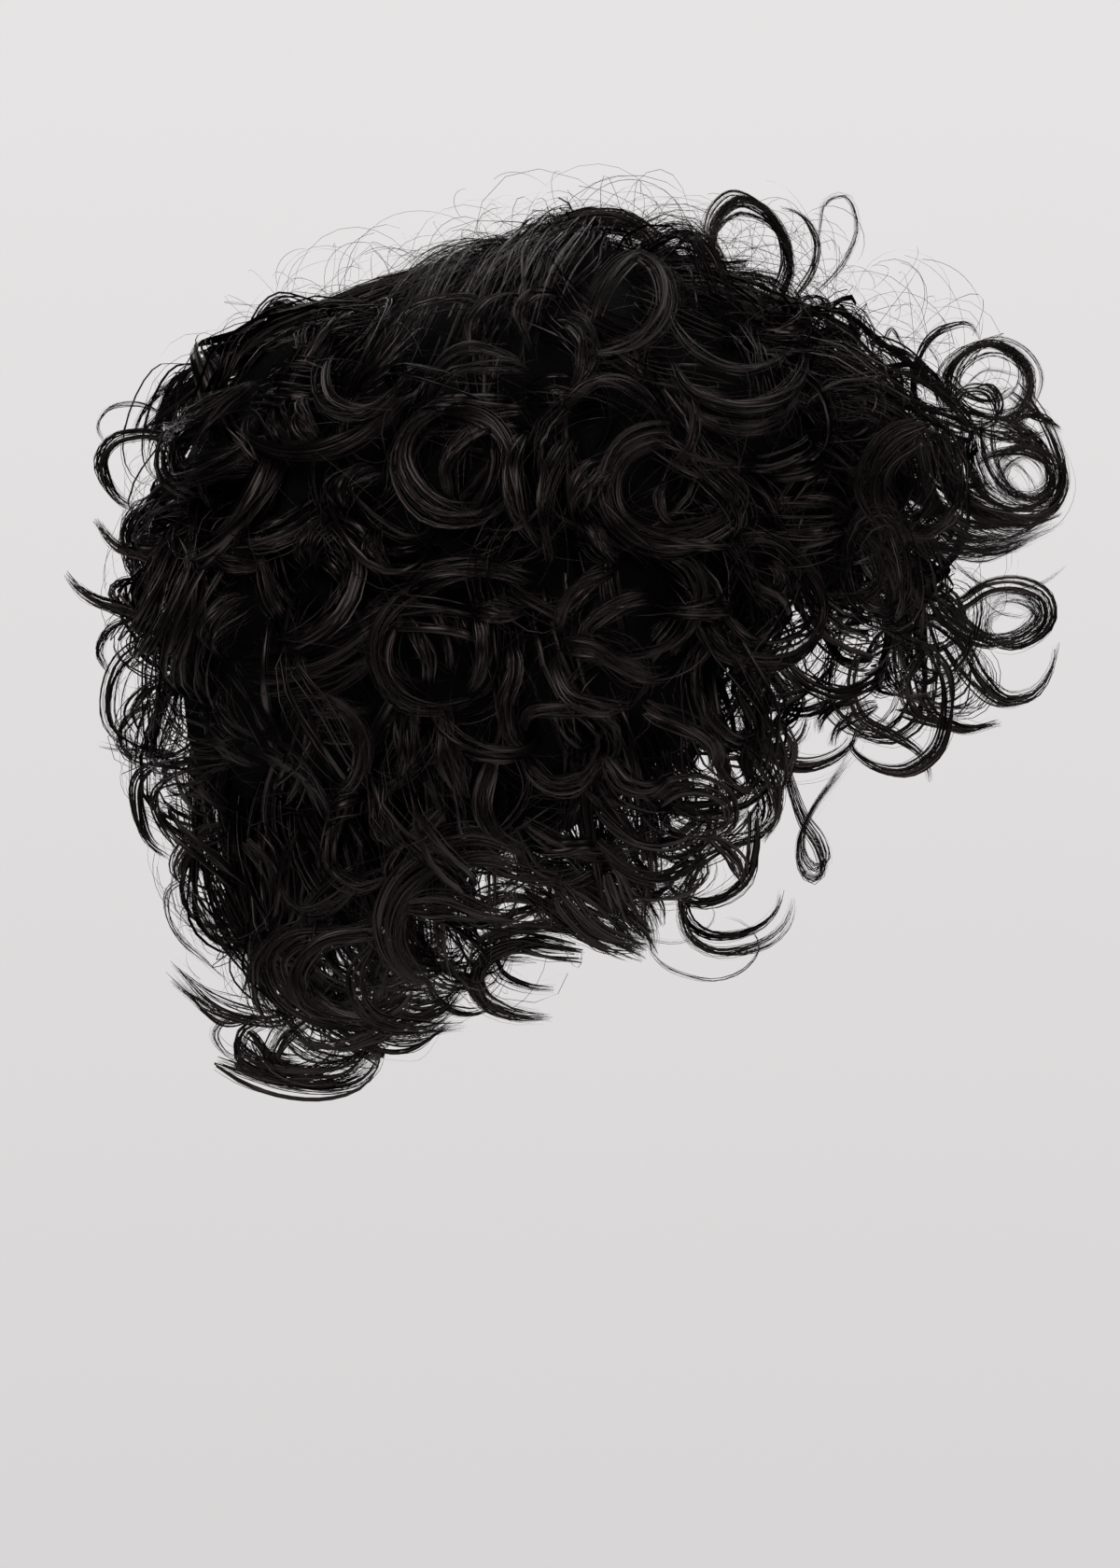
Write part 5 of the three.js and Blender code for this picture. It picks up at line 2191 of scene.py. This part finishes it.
@dataclass
class Studio:
    """Pale studio: camera square to the wig's right side, soft boxes, floor and background."""

    aim: Triple = (-0.0059, 0.0, -0.1572)
    frame_height: float = 0.4956
    lens: float = 135.0
    sensor: float = 36.0
    floor_up: float = -0.62
    floor_radius: float = 0.85
    floor_corners: int = 64
    floor_colour: Triple = (0.86, 0.85, 0.855)
    floor_roughness: float = 0.8
    floor_glow: float = 0.3
    back_light: Triple = (0.79, 0.775, 0.775)
    # Painted shade: share by which the background seen by the camera darkens towards the bottom
    fade: float = 0.13
    fade_span: float = 0.12
    fill_light: Triple = (0.012, 0.012, 0.0125)
    boxes: tuple[SoftBox, ...] = (
        SoftBox("key_box", (-0.8, -1.6, 0.85), (1.4, 1.2), 13.5),
        SoftBox("side_box", (1.3, -1.3, 0.25), (0.7, 1.2), 5.2),
        SoftBox("top_box", (0.1, 0.25, 1.25), (1.2, 1.0), 6.5),
        SoftBox("back_box", (-0.6, 1.7, 0.4), (1.2, 1.2), 8.5),
    )

    def build(self) -> None:
        """Sets up camera, lights, background and floor."""
        self._camera()
        for box in self.boxes:
            box.build(Vector(self.aim))
        self._background()
        self._floor()

    def _camera(self) -> None:
        """Camera level with the wig, looking along +Y."""
        data = bpy.data.cameras.new("camera")
        data.lens, data.sensor_width = self.lens, self.sensor
        camera = link_new("camera", data)
        distance = self.frame_height * self.lens / self.sensor
        camera.location = Vector(self.aim) - Vector((0, distance, 0))
        camera.rotation_euler = Vector((0, 1, 0)).to_track_quat("-Z", "Y").to_euler()
        bpy.context.scene.camera = camera

    def _background(self) -> None:
        """Pale grey behind the wig, painted darker towards the bottom as painted shade, and a dimmer even
        light from all round.
        """
        bpy.context.scene.view_settings.view_transform = "Standard"
        world = bpy.data.worlds.new("studio")
        world.use_nodes = True
        bpy.context.scene.world = world
        tree = world.node_tree
        seen = tree.nodes["Background"]
        seen.inputs["Color"].default_value = (*self.back_light, 1)
        place = tree.nodes.new("ShaderNodeTexCoord")
        parts = tree.nodes.new("ShaderNodeSeparateXYZ")
        # Painted shade: the background darkens towards the bottom
        fade = tree.nodes.new("ShaderNodeMapRange")
        fade.inputs["From Min"].default_value = -self.fade_span
        fade.inputs["From Max"].default_value = self.fade_span
        fade.inputs["To Min"].default_value = 1 - self.fade
        fade.inputs["To Max"].default_value = 1
        tree.links.new(place.outputs["Generated"], parts.inputs["Vector"])
        tree.links.new(parts.outputs["Z"], fade.inputs["Value"])
        tree.links.new(fade.outputs["Result"], seen.inputs["Strength"])
        lit = tree.nodes.new("ShaderNodeBackground")
        lit.inputs["Color"].default_value = (*self.fill_light, 1)
        pick = tree.nodes.new("ShaderNodeMixShader")
        ray = tree.nodes.new("ShaderNodeLightPath")
        tree.links.new(ray.outputs["Is Camera Ray"], pick.inputs["Fac"])
        tree.links.new(lit.outputs["Background"], pick.inputs[1])
        tree.links.new(seen.outputs["Background"], pick.inputs[2])
        tree.links.new(pick.outputs["Shader"], tree.nodes["World Output"].inputs["Surface"])

    def _floor(self) -> None:
        """Plain pale floor well below the wig."""
        turn = np.arange(self.floor_corners) * 2 * np.pi / self.floor_corners
        rim = np.stack([np.cos(turn), np.sin(turn), 0 * turn], -1) * self.floor_radius
        mesh = bpy.data.meshes.new("floor")
        mesh.from_pydata(rim.tolist(), [], [list(range(self.floor_corners))])
        floor = link_new("floor", mesh)
        floor.location = (self.aim[0], 0, self.floor_up)
        material = bpy.data.materials.new("pale_floor")
        material.use_nodes = True
        surface = material.node_tree.nodes["Principled BSDF"]
        surface.inputs["Base Color"].default_value = (*self.floor_colour, 1)
        surface.inputs["Roughness"].default_value = self.floor_roughness
        surface.inputs["Emission Color"].default_value = (*self.back_light, 1)
        surface.inputs["Emission Strength"].default_value = self.floor_glow
        mesh.materials.append(material)


def main() -> None:
    """Builds the studio, the cap, the undercoat and the hair, and reports each piece of hair."""
    logging.basicConfig(level=logging.INFO)
    form = HeadForm()
    rng = np.random.default_rng(SEED)
    Studio().build()

    cap = WigCap(form)
    cap.dress(cap.build())
    undercoat = Undercoat(form)
    undercoat.dress(undercoat.build())

    curls = [*CURLS, *PartnerRule().rows(CURLS)]
    placed = by_zone(form, curls)
    filling = by_zone(form, FillCurls().rows(form, curls, rng))
    filling[Zone.CROWN] += CrownSweeps().rows(form, rng)
    tresses = (*TRESSES, *PartnerRule().tresses(form, TRESSES))
    drawn = [line for tress in tresses for line in DrawnLocks(form).lines(tress, rng)]
    hanging = [*HangingLocks().lines(form, rng), *NAPE_LOCKS.lines(form, rng)]
    lines = by_zone(form, [*drawn, *hanging])
    hair = HAIR.material()
    for zone in Zone:
        part = HairZone(zone, lines[zone], placed[zone], filling[zone], form)
        piece = part.build(rng)
        part.dress(piece, hair)
        locks = len(lines[zone]) + len(placed[zone]) + len(filling[zone])
        LOG.info("%s: %d locks, %d triangles", piece.name, locks, 2 * len(piece.data.polygons))

    flyaways = Flyaways(form)
    loose = flyaways.build(rng)
    flyaways.dress(loose, hair)
    LOG.info("%s: %d triangles", loose.name, 2 * len(loose.data.polygons))


if __name__ == "__main__":
    main()
